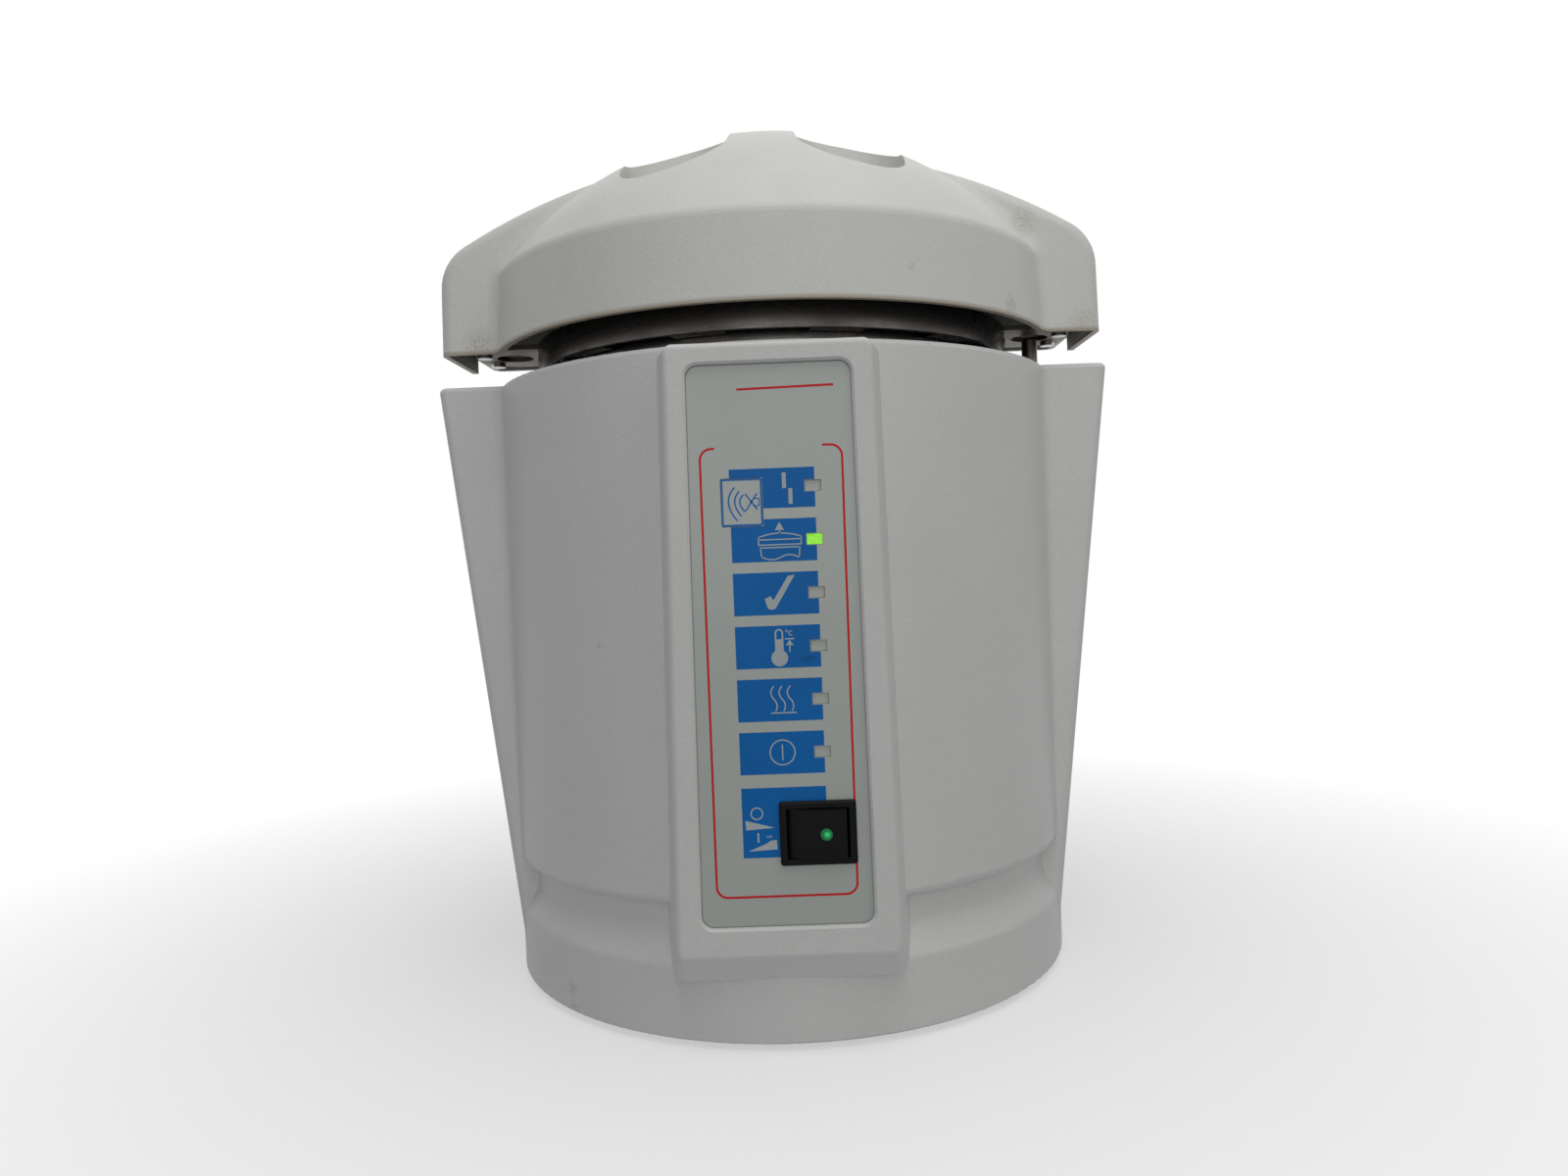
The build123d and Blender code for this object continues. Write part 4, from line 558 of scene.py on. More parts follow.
class AutoclavePlastics(bpy.types.PropertyGroup):
    """Colours and surface of the white mouldings."""

    casing_colour: bpy.props.FloatVectorProperty(
        name="Casing", description="Colour of the base casing and panel", subtype="COLOR",
        min=0.0, max=1.0, default=(0.70, 0.70, 0.695))
    lid_colour: bpy.props.FloatVectorProperty(
        name="Lid", description="Colour of the slightly aged lid", subtype="COLOR",
        min=0.0, max=1.0, default=(0.71, 0.715, 0.685))
    stain_colour: bpy.props.FloatVectorProperty(
        name="Grime", description="Colour of handling grime", subtype="COLOR",
        min=0.0, max=1.0, default=(0.36, 0.31, 0.235))
    speck_colour: bpy.props.FloatVectorProperty(
        name="Specks", description="Colour of stray specks", subtype="COLOR",
        min=0.0, max=1.0, default=(0.10, 0.09, 0.08))
    grain_size: bpy.props.FloatProperty(
        name="Grain Size", description="Size of one pebble of the moulded grain", unit="LENGTH",
        min=0.0001, default=0.0011)
    grain_depth: bpy.props.FloatProperty(
        name="Grain Depth", description="Depth of the moulded grain", unit="LENGTH",
        min=0.0, default=0.00011)
    speck_spacing: bpy.props.FloatProperty(
        name="Speck Spacing", description="Mean distance between specks", unit="LENGTH",
        min=0.001, default=0.034)
    speck_size: bpy.props.FloatProperty(
        name="Speck Size", description="Width of the largest specks", unit="LENGTH",
        min=0.0001, default=0.0011)
    grime_strength: bpy.props.FloatProperty(
        name="Grime Strength", description="How much grime covers the colour", subtype="FACTOR",
        min=0.0, max=1.0, default=0.32)
    # How far the lid turns browner and darker towards its lower edge
    lower_edge_darkening: bpy.props.FloatProperty(
        name="Edge Stain", description="How brown the lid's lower edge is", subtype="FACTOR",
        min=0.0, max=1.0, default=0.9)
    roughness: bpy.props.FloatProperty(
        name="Roughness", description="Roughness of clean plastic", subtype="FACTOR",
        min=0.0, max=1.0, default=0.46)


class AutoclavePrint(bpy.types.PropertyGroup):
    """Inks and sizes of the printed panel."""

    film_colour: bpy.props.FloatVectorProperty(
        name="Film", description="Colour of the panel's overlay film", subtype="COLOR",
        min=0.0, max=1.0, default=(0.42, 0.455, 0.43))
    block_colour: bpy.props.FloatVectorProperty(
        name="Blocks", description="Blue of the symbol blocks", subtype="COLOR",
        min=0.0, max=1.0, default=(0.007, 0.165, 0.53))
    symbol_colour: bpy.props.FloatVectorProperty(
        name="Symbols", description="Pale ink of the symbols", subtype="COLOR",
        min=0.0, max=1.0, default=(0.52, 0.58, 0.60))
    line_colour: bpy.props.FloatVectorProperty(
        name="Lines", description="Red of the frame lines", subtype="COLOR",
        min=0.0, max=1.0, default=(0.74, 0.020, 0.022))
    film_thickness: bpy.props.FloatProperty(
        name="Ink Thickness", description="Thickness of one layer of ink", unit="LENGTH",
        min=0.00001, default=0.00005)
    block_half_width: bpy.props.FloatProperty(
        name="Block Half Width", description="Half the width of a symbol block, in millimetres",
        min=1.0, default=17.0)
    block_half_height: bpy.props.FloatProperty(
        name="Block Half Height", description="Half the height of a symbol block, in millimetres",
        min=1.0, default=8.5)
    symbol_line: bpy.props.FloatProperty(
        name="Symbol Line", description="Line width of the symbols, in millimetres",
        min=0.1, default=0.5)


class AutoclaveLamps(bpy.types.PropertyGroup):
    """Lit window and switch lens."""

    window_glow: bpy.props.FloatVectorProperty(
        name="Window Glow", description="Light of the lit window", subtype="COLOR",
        min=0.0, max=1.0, default=(0.27, 0.82, 0.025))
    lens_glow: bpy.props.FloatVectorProperty(
        name="Lens Glow", description="Light of the switch's lens", subtype="COLOR",
        min=0.0, max=1.0, default=(0.02, 0.60, 0.14))
    window_strength: bpy.props.FloatProperty(
        name="Window Strength", description="Strength of the window's light", min=0.0, default=0.85)
    lens_strength: bpy.props.FloatProperty(
        name="Lens Strength", description="Strength of the lens's light", min=0.0, default=0.9)


class AutoclaveStudio(bpy.types.PropertyGroup):
    """Camera, lamps and floor."""

    lens: bpy.props.FloatProperty(
        name="Lens", description="Focal length of the camera in millimetres", min=1.0, default=25.16)
    camera_place: bpy.props.FloatVectorProperty(
        name="Camera", description="Place of the camera", subtype="TRANSLATION", unit="LENGTH",
        default=(0.0078, -0.5815, 0.2031))
    camera_turn: bpy.props.FloatVectorProperty(
        name="Turn", description="Yaw, pitch and roll of the camera", subtype="EULER", unit="ROTATION",
        default=(-0.0104, -0.0301, -0.0379))
    sky_strength: bpy.props.FloatProperty(
        name="Sky", description="Strength of the soft light from all round", min=0.0, default=0.19)
    top_power: bpy.props.FloatProperty(
        name="Top Lamp", description="Power of the lamp overhead in watts", min=0.0, default=4.4)
    side_power: bpy.props.FloatProperty(
        name="Side Lamp", description="Power of the lamp at the right in watts", min=0.0, default=1.5)
    front_power: bpy.props.FloatProperty(
        name="Front Lamp", description="Power of the lamp behind the camera in watts", min=0.0, default=3.0)
    floor_colour: bpy.props.FloatVectorProperty(
        name="Floor", description="Colour of the floor", subtype="COLOR",
        min=0.0, max=1.0, default=(0.86, 0.86, 0.87))


# Operators


class AutoclavePlasticFinish(bpy.types.Operator):
    """Give the casing, the panel and the lid their grained white plastic"""

    bl_idname = "autoclave.finish_plastics"
    bl_label = "White Plastics"

    def execute(self, context):
        finish = context.scene.autoclave_plastics
        stain = finish.stain_colour
        casing = moulded_plastic("casing_plastic", finish.casing_colour, stain, 0.35, 0.08, None,
                                 CASING_MARKS)
        lid_edge = (cover_low + 0.0004, cover_low + 0.0022)
        lid = moulded_plastic("lid_plastic", finish.lid_colour, stain, 0.75, 0.05, lid_edge, LID_MARKS)
        paint_nodes(casing, ("base_casing", "panel_bezel"))
        paint_nodes(lid, ("lid_cover",))
        return {"FINISHED"}


def add_coil(name, material):
    """Return spring of the lock pin, a copy of its part with the material, attached to the base."""
    mesh = nodes["lock_spring"].data.copy()
    mesh.name = name
    mesh.materials.clear()
    mesh.materials.append(material)
    coil = add_piece(name, mesh)
    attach(coil, "base")
    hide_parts("lock_spring")
    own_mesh(coil)


class AutoclaveMetalFinish(bpy.types.Operator):
    """Give the steel, brass and aluminium pieces their worked surfaces"""

    bl_idname = "autoclave.finish_metals"
    bl_label = "Metals"

    def execute(self, context):
        polished = worked_metal("polished_steel", (0.55, 0.54, 0.52), (0.42, 0.40, 0.38), 0.16)
        dark = worked_metal("dark_steel", (0.10, 0.095, 0.09), (0.05, 0.045, 0.042), 0.2)
        worn = worked_metal("worn_steel", (0.20, 0.18, 0.16), (0.10, 0.085, 0.075), 0.28)
        plated = worked_metal("plated_steel", (0.17, 0.155, 0.13), (0.075, 0.066, 0.052), 0.42,
                              stain_size=0.015)
        screws = worked_metal("screw_steel", (0.52, 0.52, 0.51), (0.36, 0.35, 0.33), 0.25, line_size=0.0003)
        brass = worked_metal("machined_brass", (0.62, 0.44, 0.17), (0.42, 0.28, 0.10), 0.26, line_size=0.0004)
        aluminium = worked_metal("bare_aluminium", (0.66, 0.66, 0.67), (0.50, 0.50, 0.51), 0.38)
        paint_nodes(polished, ("chamber_vessel", "lid_plate", "temperature_probe", "air_vent_pin",
                               "basket_half_right", "basket_half_left", "basket_floor", "basket_bail"))
        paint_nodes(dark, ("neck_ring", "locking_ring"))
        paint_nodes(worn, ("lock_pin", "heater_element"))
        paint_nodes(plated, ("bridge_strap", "spindle", "sensor_bar", "support_posts", "base_plate"))
        add_coil("lock_pin_coil", plated)
        paint_nodes(screws, ("panel_screws", "board_screws", "base_screws", "foot_screws", "inlet_screws",
                             "strap_screws", "cover_screws", "spindle_nut"))
        paint_nodes(brass, ("switch_terminals", "inlet_pins", "spindle_bush", "relief_seat", "air_vent_body"))
        paint_nodes(aluminium, ("heater_plate", "thermal_cutout", "trivet"))
        return {"FINISHED"}


def quilted_jacket(name, material):
    """Wool sleeve stitched in lozenges, with its two ends drawn in, inside the jacket's box."""
    low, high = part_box("insulation_jacket")
    outer = (high.x - low.x) / 2
    inner = outer - JACKET_WALL
    mesh = bpy.data.meshes.new(name)
    shell = bmesh.new()
    outside, inside = [], []
    for row in range(QUILT_ROWS + 1):
        share = row / QUILT_ROWS
        height = low.z + (high.z - low.z) * share
        drawn = min(1.0, min(share, 1 - share) * JACKET_ENDS)
        for column in range(QUILT_COLUMNS):
            angle = math.tau * column / QUILT_COLUMNS
            seam_turn, rise = QUILT_SEAMS * angle, QUILT_RISE * share
            lozenge = abs(math.sin(seam_turn + rise)) * abs(math.sin(seam_turn - rise))
            radius = outer - QUILT_DEPTH * (1 - lozenge**0.5) - QUILT_DRAW * (1 - drawn)
            for ring, reach in ((outside, radius), (inside, inner)):
                ring.append(shell.verts.new((reach * math.cos(angle), reach * math.sin(angle), height)))
    for row in range(QUILT_ROWS):
        for column in range(QUILT_COLUMNS):
            here, beside = row * QUILT_COLUMNS + column, row * QUILT_COLUMNS + (column + 1) % QUILT_COLUMNS
            corners = (here, beside, beside + QUILT_COLUMNS, here + QUILT_COLUMNS)
            shell.faces.new([outside[index] for index in corners])
            shell.faces.new([inside[index] for index in reversed(corners)])
    for row in (0, QUILT_ROWS):
        for column in range(QUILT_COLUMNS):
            here, beside = row * QUILT_COLUMNS + column, row * QUILT_COLUMNS + (column + 1) % QUILT_COLUMNS
            shell.faces.new([outside[here], outside[beside], inside[beside], inside[here]])
    bmesh.ops.recalc_face_normals(shell, faces=shell.faces)
    for face in shell.faces:
        face.smooth = True
    shell.to_mesh(mesh)
    shell.free()
    mesh.materials.append(material)
    return add_piece(name, mesh)


class AutoclaveSmallFinish(bpy.types.Operator):
    """Give the rubbers, black plastics, board, wool and windows their finishes"""

    bl_idname = "autoclave.finish_small_parts"
    bl_label = "Small Parts"

    def execute(self, context):
        black = dense_plastic("switch_black", (0.003, 0.003, 0.003), 0.4, dust=0.01, shine=0.09)
        shell_black = dense_plastic("fitting_black", (0.012, 0.012, 0.012), 0.42)
        rubber = dense_plastic("black_rubber", (0.02, 0.02, 0.02), 0.72, grain_size=0.0008,
                               grain_depth=0.00006)
        silicone = dense_plastic("silicone_seal", (0.42, 0.09, 0.05), 0.55, dust=0.1)
        nylon = dense_plastic("natural_nylon", (0.68, 0.65, 0.56), 0.5, dust=0.1)
        window = dense_plastic("window_plastic", (0.50, 0.52, 0.50), 0.3, grain_size=0.0009, dust=0.1,
                               shine=0.3)
        board = dense_plastic("board_green", (0.01, 0.09, 0.035), 0.35, dust=0.1)
        glass = dense_plastic("fuse_glass", (0.55, 0.57, 0.56), 0.1, dust=0.05)
        paint_nodes(black, ("switch_frame", "switch_rocker"))
        paint_nodes(shell_black, ("mains_inlet", "fuse_drawer", "pin_bush", "lock_actuator", "relief_cap",
                                  "board_components"))
        paint_nodes(rubber, ("rubber_feet", "neck_seal"))
        paint_nodes(silicone, ("gasket",))
        paint_nodes(nylon, ("glide_ring",))
        paint_nodes(window, ("indicator_windows", "indicator_leds"))
        paint_nodes(board, ("control_board",))
        paint_nodes(glass, ("fuse",))
        quilt = quilted_jacket("quilted_jacket", wool_felt("glass_wool", (0.52, 0.47, 0.32)))
        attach(quilt, "base")
        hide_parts("insulation_jacket")
        return {"FINISHED"}


class AutoclaveLampFinish(bpy.types.Operator):
    """Light the ready window and the switch's lens"""

    bl_idname = "autoclave.light_lamps"
    bl_label = "Lamps"

    def execute(self, context):
        lamps = context.scene.autoclave_lamps
        window = lamp_plastic("lit_window", (0.3, 0.6, 0.1), lamps.window_glow, lamps.window_strength,
                              tuple(lit_window_front), 0.004, 0.012)
        lens = lamp_plastic("lit_lens", (0.01, 0.12, 0.05), lamps.lens_glow, lamps.lens_strength,
                            tuple(lens_front), 0.0004, 0.0017)
        paint_nodes(window, ("indicator_window_lit",))
        paint_nodes(lens, ("switch_lens",))
        return {"FINISHED"}


def lamp_height(index):
    """Height of a lamp window, in millimetres, counted from the top."""
    return (lamp_top - index * lamp_pitch) / MM


def block_top(index, half):
    """Upper edge of a symbol block; the first block is a little shorter."""
    return lamp_height(index) + (7.4 if index == 0 else half)


class AutoclaveBlocks(bpy.types.Operator):
    """Lay the overlay film and print the blue symbol blocks on it"""

    bl_idname = "autoclave.print_blocks"
    bl_label = "Symbol Blocks"

    def execute(self, context):
        prints = context.scene.autoclave_print
        film = label_film("overlay_film", prints.film_colour)
        paint_nodes(film, ("control_label", "mute_key"))
        side = prints.block_half_width
        half = prints.block_half_height
        window_left = windows_low.x / MM - 0.3
        window_reach = window_half / MM + 0.3
        shapes = []
        key_side = key_high.x / MM + 0.3
        key_top = key_high.z / MM + 0.3
        key_foot = key_low.z / MM - 0.3
        for index in range(lamp_count):
            middle = lamp_height(index)
            low, high = middle - half, block_top(index, half)
            notch = [(side, middle - window_reach), (window_left, middle - window_reach),
                     (window_left, middle + window_reach), (side, middle + window_reach)]
            if low < key_foot < high:
                left = [(key_side, high), (key_side, key_foot), (-side, key_foot), (-side, low)]
            elif low < key_top < high:
                left = [(-side, high), (-side, key_top), (key_side, key_top), (key_side, low)]
            else:
                left = [(-side, high), (-side, low)]
            shapes.append([(side, low), *notch, (side, high), *left])
        top = lamp_height(lamp_count) + 7.4
        frame_box_low, frame_box_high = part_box("switch_frame")
        inside = frame_box_low.x / MM + 0.3
        over = frame_box_high.z / MM - 0.3
        foot = top - 28.2
        stepped = [(inside, foot), (inside, over), (side, over)]
        shapes.append([(-side, foot), *stepped, (side, top), (-side, top)])
        blue = ink("blue_ink", prints.block_colour)
        print_piece("symbol_blocks", shapes, label_front, prints.film_thickness, blue, "base")
        return {"FINISHED"}


def lock_symbol(line):
    """Two offset upright bars."""
    return stroke([(4.8, -1.9), (4.8, -8.1)], 1.6) + stroke([(7.2, -8.2), (7.2, -14.5)], 1.6)


def lid_symbol(line):
    """Arrow over a lid on its drum."""
    shapes = [[(2.3, -1.2), (0.5, -4.5), (4.1, -4.5)]]
    shapes += stroke([(2.3, -4.4), (2.3, -6.0)], line)
    shapes += stroke(bow((-6.2, -7.2), (2.3, -5.7), (10.8, -7.2)), line)
    shapes += stroke([(-6.2, -7.0), (-6.2, -10.3), (10.8, -10.3), (10.8, -7.0)], line)
    shapes += stroke([(-6.2, -8.2), (10.8, -8.2)], line)
    shapes += stroke([(-5.6, -11.4), (10.2, -11.4)], line)
    wave = bow((-5.2, -15.0), (-1.4, -16.2), (2.3, -15.4)) + bow((2.3, -15.4), (6.0, -14.4), (9.8, -15.6))[1:]
    shapes += stroke([(-5.6, -11.2), (-5.2, -15.0)], line)
    shapes += stroke([(10.2, -11.2), (9.8, -15.6)], line)
    shapes += stroke(wave, line)
    return shapes


def tick_symbol(line):
    """Hand-drawn tick."""
    tick = [(-4.6, -10.6), (-2.4, -9.4), (-1.1, -11.1), (4.9, -1.6), (7.7, -1.2), (-0.4, -14.5),
            (-2.1, -15.0), (-3.5, -14.2)]
    return [tick]


def heat_symbol(line):
    """Thermometer with an arrow that rises to a bar, and a degree sign."""
    shapes = stroke(arc((0.5, -3.0), 1.375, 180, 0, 10), 0.65)
    shapes += [[(-1.2, -3.0), (-1.2, -5.5), (-0.55, -5.5), (-0.55, -3.0)]]
    shapes += [[(1.55, -3.0), (1.55, -5.5), (2.2, -5.5), (2.2, -3.0)]]
    shapes += [[(-1.2, -5.5), (-1.2, -10.11), (2.2, -10.11), (2.2, -5.5)]]
    shapes += [arc((0.5, -13.0), 3.35, 120.5, 419.5, 24)]
    shapes += stroke([(2.9, -5.4), (6.6, -5.4)], line)
    shapes += [[(4.7, -5.8), (3.1, -8.0), (6.3, -8.0)]]
    shapes += stroke([(4.7, -8.0), (4.7, -10.7)], line)
    shapes += stroke(arc((3.6, -2.2), 0.4, 0, 360, 12)[:-1], 0.28, closed=True)
    shapes += stroke(arc((5.3, -3.1), 0.85, 50, 310, 12), 0.36)
    return shapes


def degree_figures():
    """Small figures of the sterilising temperature under the arrow."""
    shapes = stroke([(9.7, -13.3), (10.1, -12.9), (10.1, -14.9)], 0.24)
    two = [(10.9, -13.3), (11.2, -12.9), (11.8, -12.9), (12.1, -13.3), (12.0, -13.8), (10.9, -14.75)]
    shapes += stroke([*two, (12.2, -14.75)], 0.24)
    shapes += stroke([(12.8, -13.3), (13.2, -12.9), (13.2, -14.9)], 0.24)
    return shapes + stroke(arc((14.1, -13.1), 0.32, 0, 360, 10)[:-1], 0.2, closed=True)


def steam_symbol(line):
    """Three rising waves over a base line."""
    shapes = []
    for index in range(3):
        x = index * 3.3
        wave = bow((-2.3 + x, -2.9), (-3.6 + x, -5.4), (-2.6 + x, -8.0))
        wave += bow((-2.6 + x, -8.0), (-1.3 + x, -10.4), (-1.9 + x, -13.0))[1:]
        shapes += stroke(wave, line)
    return shapes + stroke([(-3.7, -13.7), (6.5, -13.7)], line)


def power_symbol(line):
    """Bar in a ring."""
    ring = stroke(arc((0.2, -8.3), 5.0, 0, 360, 36)[:-1], line, closed=True)
    return ring + stroke([(0.2, -5.1), (0.2, -11.5)], line)


class AutoclaveSymbols(bpy.types.Operator):
    """Print the pale symbols on the blocks"""

    bl_idname = "autoclave.print_symbols"
    bl_label = "Symbols"

    def execute(self, context):
        prints = context.scene.autoclave_print
        pale = ink("pale_ink", prints.symbol_colour)
        line = prints.symbol_line
        half = prints.block_half_height
        makers = {
            "lock_bars": lock_symbol, "lid_free": lid_symbol, "cycle_tick": tick_symbol,
            "heat_rise": heat_symbol, "steam_waves": steam_symbol, "power_ring": power_symbol,
        }
        back = label_front - prints.film_thickness
        thin_film = prints.film_thickness * 0.6
        for index, (name, maker) in enumerate(makers.items()):
            shapes = moved(maker(line), 0.0, block_top(index, half))
            print_piece(f"symbol_{name}", shapes, back, thin_film, pale, "base")
        dark = ink("dark_ink", (0.004, 0.03, 0.10))
        figures = moved(degree_figures(), 0.0, block_top(3, half))
        print_piece("degree_figures", figures, back, thin_film, dark, "base")
        ring = stroke(arc((-11.1, 99.7), 2.32, 0, 360, 28)[:-1], 0.5, closed=True)
        wedges = [
            [(-15.8, 97.0), (-15.6, 93.1), (-4.0, 93.8)],
            [(-15.0, 84.5), (-3.2, 85.1), (-3.4, 88.9), (-5.9, 88.6), (-7.3, 87.6)],
        ]
        marks = ring + wedges + stroke([(-10.8, 91.8), (-10.8, 88.0)], 0.7)
        for turn in (60, 90, 120):
            start = arc((-6.3, 88.9), 1.0, turn, turn, 1)[0]
            end = arc((-6.3, 88.9), 2.0, turn, turn, 1)[0]
            marks += stroke([start, end], 0.3)
        print_piece("symbol_switch_marks", marks, back, thin_film, pale, "base")
        return {"FINISHED"}


class AutoclaveLines(bpy.types.Operator):
    """Print the red frame line and the rule over it"""

    bl_idname = "autoclave.print_lines"
    bl_label = "Red Lines"

    def execute(self, context):
        prints = context.scene.autoclave_print
        red = ink("red_ink", prints.line_colour)
        side, low, high, corner = 28.3, 66.0, 246.3, 4.5
        path = [(-22.4, high)]
        path += arc((-side + corner, high - corner), corner, 90, 180, 8)
        path += arc((-side + corner, low + corner), corner, 180, 270, 8)
        path += arc((side - corner, low + corner), corner, 270, 360, 8)
        path += arc((side - corner, high - corner), corner, 0, 90, 8)
        path += [(20.5, high)]
        line_width = 0.9
        shapes = stroke(path, line_width)
        rule = stroke([(-12.7, 269.4), (25.8, 270.0)], line_width)
        for name, outlines in (("frame_line", shapes), ("head_rule", rule)):
            print_piece(name, outlines, label_front, prints.film_thickness, red, "base")
        return {"FINISHED"}


class AutoclaveKeyPrint(bpy.types.Operator):
    """Print the outline and the sounder symbol on the mute key"""

    bl_idname = "autoclave.print_key"
    bl_label = "Mute Key Print"

    def execute(self, context):
        prints = context.scene.autoclave_print
        blue = ink("key_ink", tuple(min(1.0, channel * 1.1 + 0.01) for channel in prints.block_colour))
        low_x, high_x = key_low.x / MM + 0.35, key_high.x / MM - 0.35
        low_z, high_z = key_low.z / MM + 0.35, key_high.z / MM - 0.35
        edge = stroke([(low_x, low_z), (high_x, low_z), (high_x, high_z), (low_x, high_z)], 0.7, closed=True)
        icon = []
        for start, middle, end in (((-2.7, 6.1), (-5.3, 0.0), (-2.0, -7.3)),
                                   ((-0.8, 4.5), (-2.8, 0.0), (-0.3, -5.5)),
                                   ((0.8, 3.0), (-0.8, 0.0), (1.2, -3.8))):
            icon += stroke(bow(start, middle, end), 0.62)
        icon += stroke([(1.4, 3.4), (6.1, -3.0)], 0.6) + stroke([(6.1, 3.4), (1.5, -3.4)], 0.6)
        icon += stroke([(4.9, 1.45), (6.9, 1.45), (6.9, -1.45), (4.9, -1.45)], 0.42)
        shapes = edge + moved(icon, key_middle.x / MM, key_middle.z / MM)
        print_piece("mute_key_print", shapes, key_front, prints.film_thickness, blue, "mute")
        return {"FINISHED"}


class AutoclaveStage(bpy.types.Operator):
    """Set the floor, the soft lamps, the pale surroundings and the camera"""

    bl_idname = "autoclave.set_stage"
    bl_label = "Studio"

    def execute(self, context):
        studio = context.scene.autoclave_studio
        add_floor(studio)
        add_sky(studio)
        for name, place, aim_height, size, power, colour in (
            ("top_lamp", (0.12, -0.35, 1.15), 0.30, 0.9, studio.top_power, (1.0, 0.99, 0.985)),
            ("side_lamp", (1.1, -1.1, 0.75), 0.22, 0.8, studio.side_power, (0.97, 1.0, 0.88)),
            ("front_lamp", (0.0, -1.5, 0.55), 0.18, 0.9, studio.front_power, (0.97, 1.0, 0.97)),
        ):
            add_lamp(name, place, (0.0, 0.0, aim_height), size, power, colour)
        add_camera(studio)
        context.scene.view_settings.view_transform = "Standard"
        return {"FINISHED"}


def add_floor(studio):
    """Pale floor that keeps the object's soft shadow and thins out into the white surroundings."""
    mesh = bpy.data.meshes.new("floor")
    side = 6.0
    corners = [(-side, -side, 0), (side, -side, 0), (side, side, 0), (-side, side, 0)]
    mesh.from_pydata(corners, [], [(0, 1, 2, 3)])
    floor = add_piece("floor", mesh)
    material, tree, shader = new_material("pale_floor")
    grain = effect(tree, "moulded_grain", Grain_Size=0.002)
    pale = tuple(studio.floor_colour)
    shade = tuple(channel * 0.985 for channel in pale)
    tone = span_node(tree, grain.outputs["Tone"], 0.2, 0.7)
    tree.links.new(mix_colour(tree, tone, shade, pale), shader.inputs["Base Color"])
    shader.inputs["Roughness"].default_value = 0.75
    away = distance_node(tree, (0.0, 0.0, 0.0))
    tree.links.new(span_node(tree, away, 0.16, 0.55, 0.5, 0.0), shader.inputs["Alpha"])
    mesh.materials.append(material)


def add_sky(studio):
    """Soft light from all round, white where the camera or a reflection sees it."""
    world = bpy.data.worlds.new("studio_sky")
    bpy.context.scene.world = world
    world.use_nodes = True
    tree = world.node_tree
    tree.nodes.clear()
    soft = tree.nodes.new("ShaderNodeBackground")
    soft.inputs["Color"].default_value = (1.0, 0.965, 1.0, 1.0)
    soft.inputs["Strength"].default_value = studio.sky_strength
    white = tree.nodes.new("ShaderNodeBackground")
    white.inputs["Color"].default_value = (1.0, 1.0, 1.0, 1.0)
    white.inputs["Strength"].default_value = 1.0
    path = tree.nodes.new("ShaderNodeLightPath")
    seen = math_node(tree, "MAXIMUM", path.outputs["Is Camera Ray"], path.outputs["Is Glossy Ray"])
    seen = math_node(tree, "MAXIMUM", seen, path.outputs["Is Transmission Ray"])
    mix = tree.nodes.new("ShaderNodeMixShader")
    tree.links.new(seen, mix.inputs["Fac"])
    tree.links.new(soft.outputs[0], mix.inputs[1])
    tree.links.new(white.outputs[0], mix.inputs[2])
    end = tree.nodes.new("ShaderNodeOutputWorld")
    tree.links.new(mix.outputs[0], end.inputs["Surface"])


def add_lamp(name, place, aim, size, power, colour):
    """Square soft lamp that faces a point."""
    light = bpy.data.lights.new(name, "AREA")
    light.size = size
    light.energy = power
    light.color = colour
    lamp = add_piece(name, light)
    lamp.location = place
    lamp.rotation_euler = (Vector(aim) - Vector(place)).to_track_quat("-Z", "Y").to_euler()


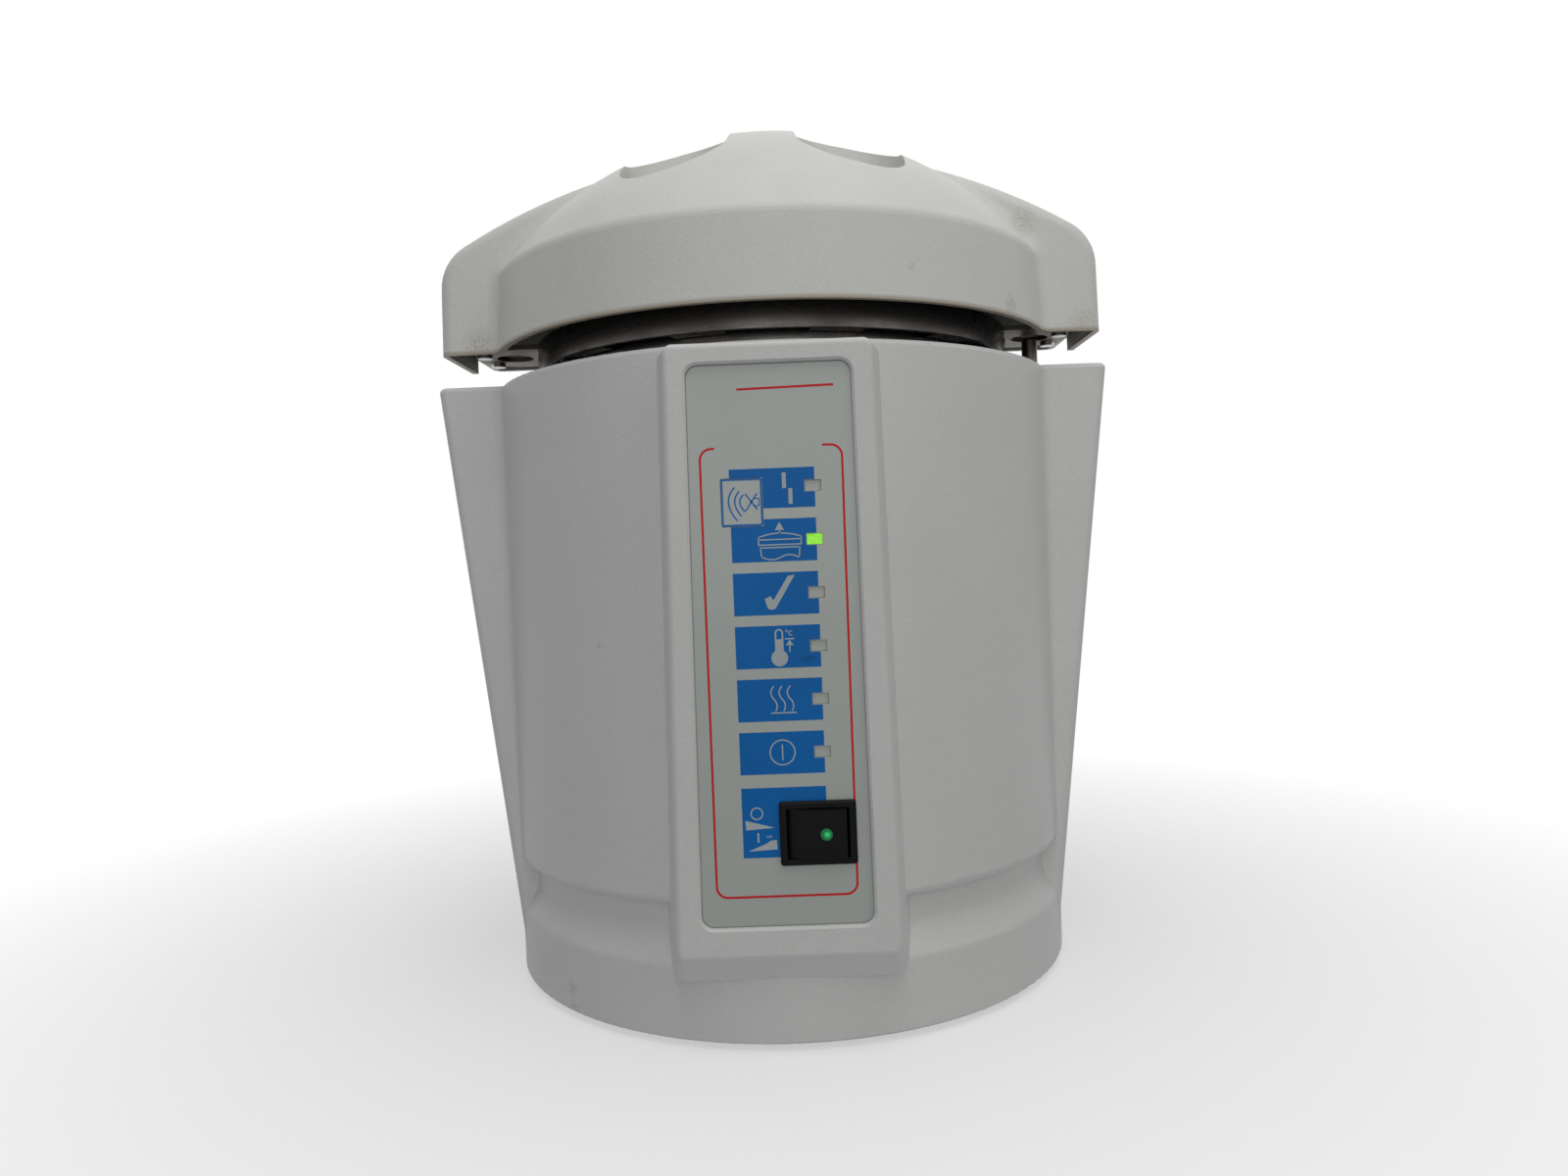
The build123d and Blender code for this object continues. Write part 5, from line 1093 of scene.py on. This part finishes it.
def add_camera(studio):
    """Camera at the photograph's viewing angle."""
    yaw, pitch, roll = studio.camera_turn
    forward = Vector((math.sin(yaw) * math.cos(pitch), math.cos(yaw) * math.cos(pitch), math.sin(pitch)))
    level = Vector((math.cos(yaw), -math.sin(yaw), 0.0))
    upright = level.cross(forward)
    right = level * math.cos(roll) + upright * math.sin(roll)
    up = upright * math.cos(roll) - level * math.sin(roll)
    data = bpy.data.cameras.new("camera")
    data.lens = studio.lens
    data.sensor_width = 36.0
    data.clip_start = 0.01
    camera = add_piece("camera", data)
    turn = Matrix((right, up, -forward)).transposed().to_4x4()
    camera.matrix_world = Matrix.Translation(Vector(studio.camera_place)) @ turn
    bpy.context.scene.camera = camera


class AutoclavePanel(bpy.types.Panel):
    """Sidebar list of the autoclave's steps"""

    bl_idname = "VIEW3D_PT_autoclave"
    bl_label = "Autoclave"
    bl_space_type = "VIEW_3D"
    bl_region_type = "UI"
    bl_category = "Autoclave"

    def draw(self, context):
        for operator in OPERATORS:
            self.layout.operator(operator.bl_idname)


OPERATORS = (
    AutoclavePlasticFinish, AutoclaveMetalFinish, AutoclaveSmallFinish, AutoclaveLampFinish, AutoclaveBlocks,
    AutoclaveSymbols, AutoclaveLines, AutoclaveKeyPrint, AutoclaveStage,
)
SETTINGS = {
    "autoclave_plastics": AutoclavePlastics,
    "autoclave_print": AutoclavePrint,
    "autoclave_lamps": AutoclaveLamps,
    "autoclave_studio": AutoclaveStudio,
}


def register():
    """Add the settings, the operators and the panel."""
    for name, group in SETTINGS.items():
        bpy.utils.register_class(group)
        setattr(bpy.types.Scene, name, bpy.props.PointerProperty(type=group))
    for item in (*OPERATORS, AutoclavePanel):
        bpy.utils.register_class(item)


def unregister():
    """Take them out again."""
    for item in (AutoclavePanel, *reversed(OPERATORS)):
        bpy.utils.unregister_class(item)
    for name, group in SETTINGS.items():
        delattr(bpy.types.Scene, name)
        bpy.utils.unregister_class(group)


def main():
    """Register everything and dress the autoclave."""
    register()
    for operator in OPERATORS:
        group, name = operator.bl_idname.split(".")
        getattr(getattr(bpy.ops, group), name)()
    bpy.context.view_layer.update()


if __name__ == "__main__":
    main()
